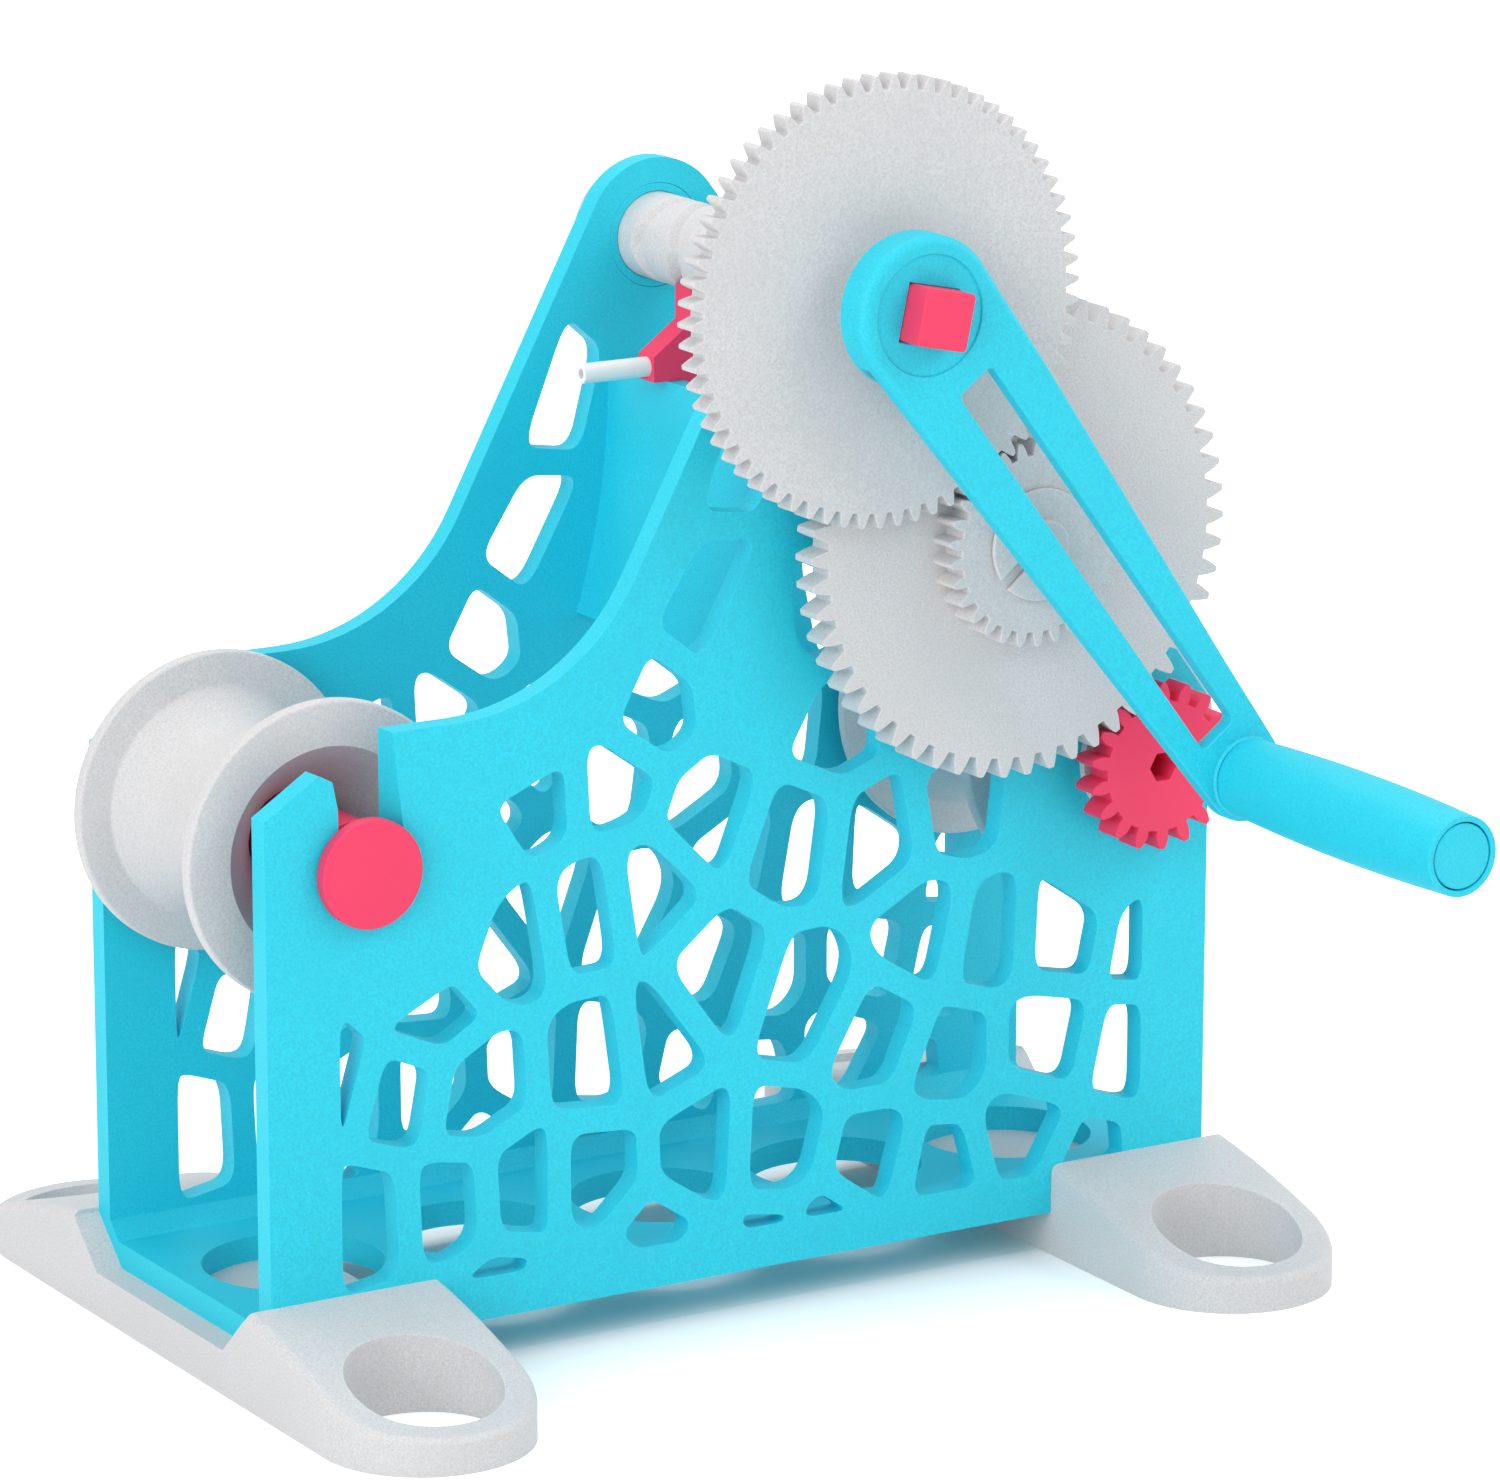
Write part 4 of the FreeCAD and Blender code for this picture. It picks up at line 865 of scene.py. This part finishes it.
class ArmLine:
    """The line from the crank's axis to the handle, which tells how soft each edge of the arm is."""

    def __init__(self, edges):
        self.edges = edges
        self.start = flattened(centre("crank_shaft"))
        self.end = flattened(centre("handle_cap"))
        low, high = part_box("crank_arm")
        self.hub = high.z - self.start.z

    def outside(self, place, edge):
        """Whether an edge lies on the arm's front and on its outline, not round its slot or dish."""
        across = self.end - self.start
        share = max(0.0, min(1.0, (place - self.start).dot(across) / across.length_squared))
        away = flattened(place - self.start) - across * share
        front = edge.is_convex and min(face.normal.y for face in edge.link_faces) < -0.9
        return front and max(flattened(face.normal).dot(away.normalized()) for face in edge.link_faces) > 0.5

    def __call__(self, place, edge):
        """The share of the hub's softening that an edge gets: less along the arm, least at the handle."""
        edges = self.edges
        if not edge.is_convex:
            return 0.0
        if not self.outside(place, edge):
            return edges.slot / edges.hub
        fade = 14.0 * MM
        hub = max(0.0, min(1.0, 1.0 - (flattened(place - self.start).length - self.hub) / fade))
        handle = max(0.0, min(1.0, 2.0 - flattened(place - self.end).length / fade))
        return (edges.arm + (edges.hub - edges.arm) * hub + (edges.slot - edges.arm) * handle) / edges.hub


def flattened(vector):
    """A vector seen from the front."""
    return Vector((vector.x, 0.0, vector.z))


def divide_long_edges(mesh, step, line):
    """Cuts the long edges of the arm's outline, so that its softening can narrow along them."""
    work = bmesh.new()
    work.from_mesh(mesh)
    for edge in list(work.edges):
        place = (edge.verts[0].co + edge.verts[1].co) / 2
        parts = int(edge.calc_length() / step)
        if parts > 1 and edge.calc_face_angle(0.0) > line.edges.sharp and line.outside(place, edge):
            bmesh.ops.subdivide_edges(work, edges=[edge], cuts=parts - 1)
    work.to_mesh(mesh)
    work.free()


class WINDER_OT_crank(bpy.types.Operator):
    """Gives the crank arm, square shaft, screw and caps their softened edges"""

    bl_idname = "winder.crank"
    bl_label = "Crank"

    def execute(self, context):
        scene = context.scene
        edges = scene.winder_edges
        arm = copied("crank_arm", "crank_arm_printed", turquoise_nylon(scene))
        line = ArmLine(edges)
        piece_length = 4.0 * MM
        divide_long_edges(arm.data, piece_length, line)
        soften(arm, edges.hub, edges.sharp, line)
        seat(arm, "crank", "frame_plastic", "crank_arm")
        dress("crank_shaft", "crank", "coral", edges.small, "square_shaft_printed")
        for node in ("reversing_screw", "screw_end_cap"):
            dress(node, "crank", "natural", edges.small)
        return {"FINISHED"}


class WINDER_OT_handle(bpy.types.Operator):
    """Turns the barrel-shaped grip and the cap on its pin"""

    bl_idname = "winder.handle"
    bl_label = "Handle"

    def execute(self, context):
        scene = context.scene
        handle = scene.winder_handle
        sharp = scene.winder_edges.sharp
        turquoise = turquoise_nylon(scene)
        axis = centre("handle_cap")
        low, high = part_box("handle_grip")
        cap_low, cap_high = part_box("handle_cap")
        cap_radius = (cap_high.x - cap_low.x) / 2
        recess = cap_high.y + handle.cap_gap
        hole = cap_radius + handle.cap_gap
        middle = (low.y + high.y) / 2
        half = (high.y - low.y) / 2 - handle.edge
        bulge = handle.middle - handle.end
        barrel_steps = 24
        barrel = []
        for i in range(barrel_steps + 1):
            share = 1 - 2 * i / barrel_steps
            barrel.append((middle + half * share, handle.middle - bulge * share * share))
        root = rounded([(high.y, handle.bore), (high.y, handle.end), (middle + half, handle.end)],
                       handle.edge, CORNER_STEPS)
        tip = rounded([(middle - half, handle.end), (low.y, handle.end), (low.y, hole), (recess, hole),
                       (recess, handle.bore), (high.y, handle.bore)], handle.edge, CORNER_STEPS)
        section = root[:-1] + barrel + tip[1:-1]
        grip = lathe("handle_grip_turned", axis, section, turquoise, sharp, closed=True)
        seat(grip, "handle", "frame_plastic", "handle_grip")
        outline = [(cap_low.y, handle.cap_edge), (cap_low.y, cap_radius), (cap_high.y, cap_radius),
                   (cap_high.y, handle.cap_stub)]
        profile = [(cap_low.y, 0.0)] + rounded(outline, handle.cap_edge) + [(cap_high.y, 0.0)]
        cap = lathe("handle_cap_turned", axis, profile, turquoise, sharp)
        seat(cap, "crank", "frame_plastic", "handle_cap")
        dress("handle_pin", "crank", "natural", scene.winder_edges.small)
        return {"FINISHED"}


class WINDER_OT_small_parts(bpy.types.Operator):
    """Gives the bushes, pins, clips, arbor and guide their softened edges"""

    bl_idname = "winder.small_parts"
    bl_label = "Small parts"

    def execute(self, context):
        edge = context.scene.winder_edges.small
        for node in ("crank_bush_front", "take_up_bush_front", "take_up_bush_back", "idler_pin", "idler_clip",
                     "idler_spacer"):
            dress(node, "stand", "natural", edge)
        dress("crank_bush_back", "stand", "turquoise", edge)
        dress("take_up_arbor", "take_up", "natural", edge)
        dress("guide_follower", "guide", "coral", edge)
        dress("follower_pawl", "guide", "natural", edge)
        return {"FINISHED"}


class WINDER_OT_tube(bpy.types.Operator):
    """Draws the guide tube with its bore"""

    bl_idname = "winder.tube"
    bl_label = "Guide tube"

    def execute(self, context):
        scene = context.scene
        low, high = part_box("guide_tube")
        outer = (high.y - low.y) / 2
        bore = 1.1 * MM
        edge = 0.25 * MM
        inside = low.x + 4 * edge
        profile = rounded([(inside, bore), (low.x, bore), (low.x, outer), (high.x, outer), (high.x, bore),
                           (inside, bore)], edge)
        tube = lathe("guide_tube_drawn", centre("guide_tube"), profile[:-1], fluoropolymer_tube(scene),
                     scene.winder_edges.sharp, closed=True, steps=48, along="X")
        seat(tube, "guide", "white_tube", "guide_tube")
        return {"FINISHED"}


class WINDER_OT_stage(bpy.types.Operator):
    """Lays the pale floor and sets the lamps and the camera"""

    bl_idname = "winder.stage"
    bl_label = "Stage"

    def execute(self, context):
        scene = context.scene
        studio = scene.winder_studio
        half = studio.floor / 2
        mesh = bpy.data.meshes.new("studio_floor")
        mesh.from_pydata([(-half, -half, 0), (half, -half, 0), (half, half, 0), (-half, half, 0)], [],
                         [(0, 1, 2, 3)])
        floor = link("studio_floor", mesh, studio_paper(scene))
        set_camera(scene, studio)
        for name, (size, place) in LAMPS.items():
            place_lamp(name, getattr(studio, name), size, place)
        scene.world = studio_world(studio.world)
        scene.view_settings.view_transform = "Standard"
        return {"FINISHED"}


def set_camera(scene, studio):
    """Stands the camera where the photograph was taken from."""
    back = Vector((math.sin(studio.azimuth) * math.cos(studio.elevation),
                   -math.cos(studio.azimuth) * math.cos(studio.elevation), math.sin(studio.elevation)))
    right = Vector((math.cos(studio.azimuth), math.sin(studio.azimuth), 0.0))
    up = right.cross(-back)
    data = bpy.data.cameras.new("camera")
    data.lens = studio.lens
    data.sensor_width = 36.0
    data.clip_start = 0.05
    data.clip_end = 50.0
    camera = bpy.data.objects.new("camera", data)
    scene.collection.objects.link(camera)
    stand = Vector(studio.aim) + back * studio.distance
    camera.location = stand + right * studio.shift_right - up * studio.shift_down
    camera.rotation_mode = "QUATERNION"
    turn = Matrix((right, up, back)).transposed()
    camera.rotation_quaternion = (turn @ Matrix.Rotation(studio.roll, 3, "Z")).to_quaternion()
    scene.camera = camera


def place_lamp(name, power, size, place):
    """A square soft box that faces the middle of the winder."""
    data = bpy.data.lights.new(name, "AREA")
    data.energy = power
    data.size = size
    lamp = bpy.data.objects.new(name, data)
    bpy.context.scene.collection.objects.link(lamp)
    lamp.location = place
    low, high = cad_box
    lamp.rotation_mode = "QUATERNION"
    lamp.rotation_quaternion = (Vector(place) - (low + high) / 2).to_track_quat("Z", "Y")


PIECES = (
    WINDER_OT_frame,
    WINDER_OT_feet,
    WINDER_OT_gears,
    WINDER_OT_spools,
    WINDER_OT_supply_axle,
    WINDER_OT_crank,
    WINDER_OT_handle,
    WINDER_OT_small_parts,
    WINDER_OT_tube,
    WINDER_OT_stage,
)


class WINDER_PT_panel(bpy.types.Panel):
    """Lists the pieces of the winder and its sizes"""

    bl_label = "Winder"
    bl_idname = "WINDER_PT_panel"
    bl_space_type = "VIEW_3D"
    bl_region_type = "UI"
    bl_category = "Winder"

    def draw(self, context):
        for group in GROUPS:
            box = self.layout.box()
            values = getattr(context.scene, group)
            box.label(text=group.replace("_", " ").capitalize())
            for name in values.bl_rna.properties.keys():
                if name not in ("rna_type", "name"):
                    box.prop(values, name)
        for operator in PIECES:
            self.layout.operator(operator.bl_idname)


def register():
    for name, group in GROUPS.items():
        bpy.utils.register_class(group)
        setattr(bpy.types.Scene, name, bpy.props.PointerProperty(type=group))
    for operator in PIECES:
        bpy.utils.register_class(operator)
    bpy.utils.register_class(WINDER_PT_panel)


def unregister():
    bpy.utils.unregister_class(WINDER_PT_panel)
    for operator in reversed(PIECES):
        bpy.utils.unregister_class(operator)
    for name, group in GROUPS.items():
        delattr(bpy.types.Scene, name)
        bpy.utils.unregister_class(group)


def main():
    register()
    for operator in PIECES:
        group, name = operator.bl_idname.split(".")
        getattr(getattr(bpy.ops, group), name)()


if __name__ == "__main__":
    main()
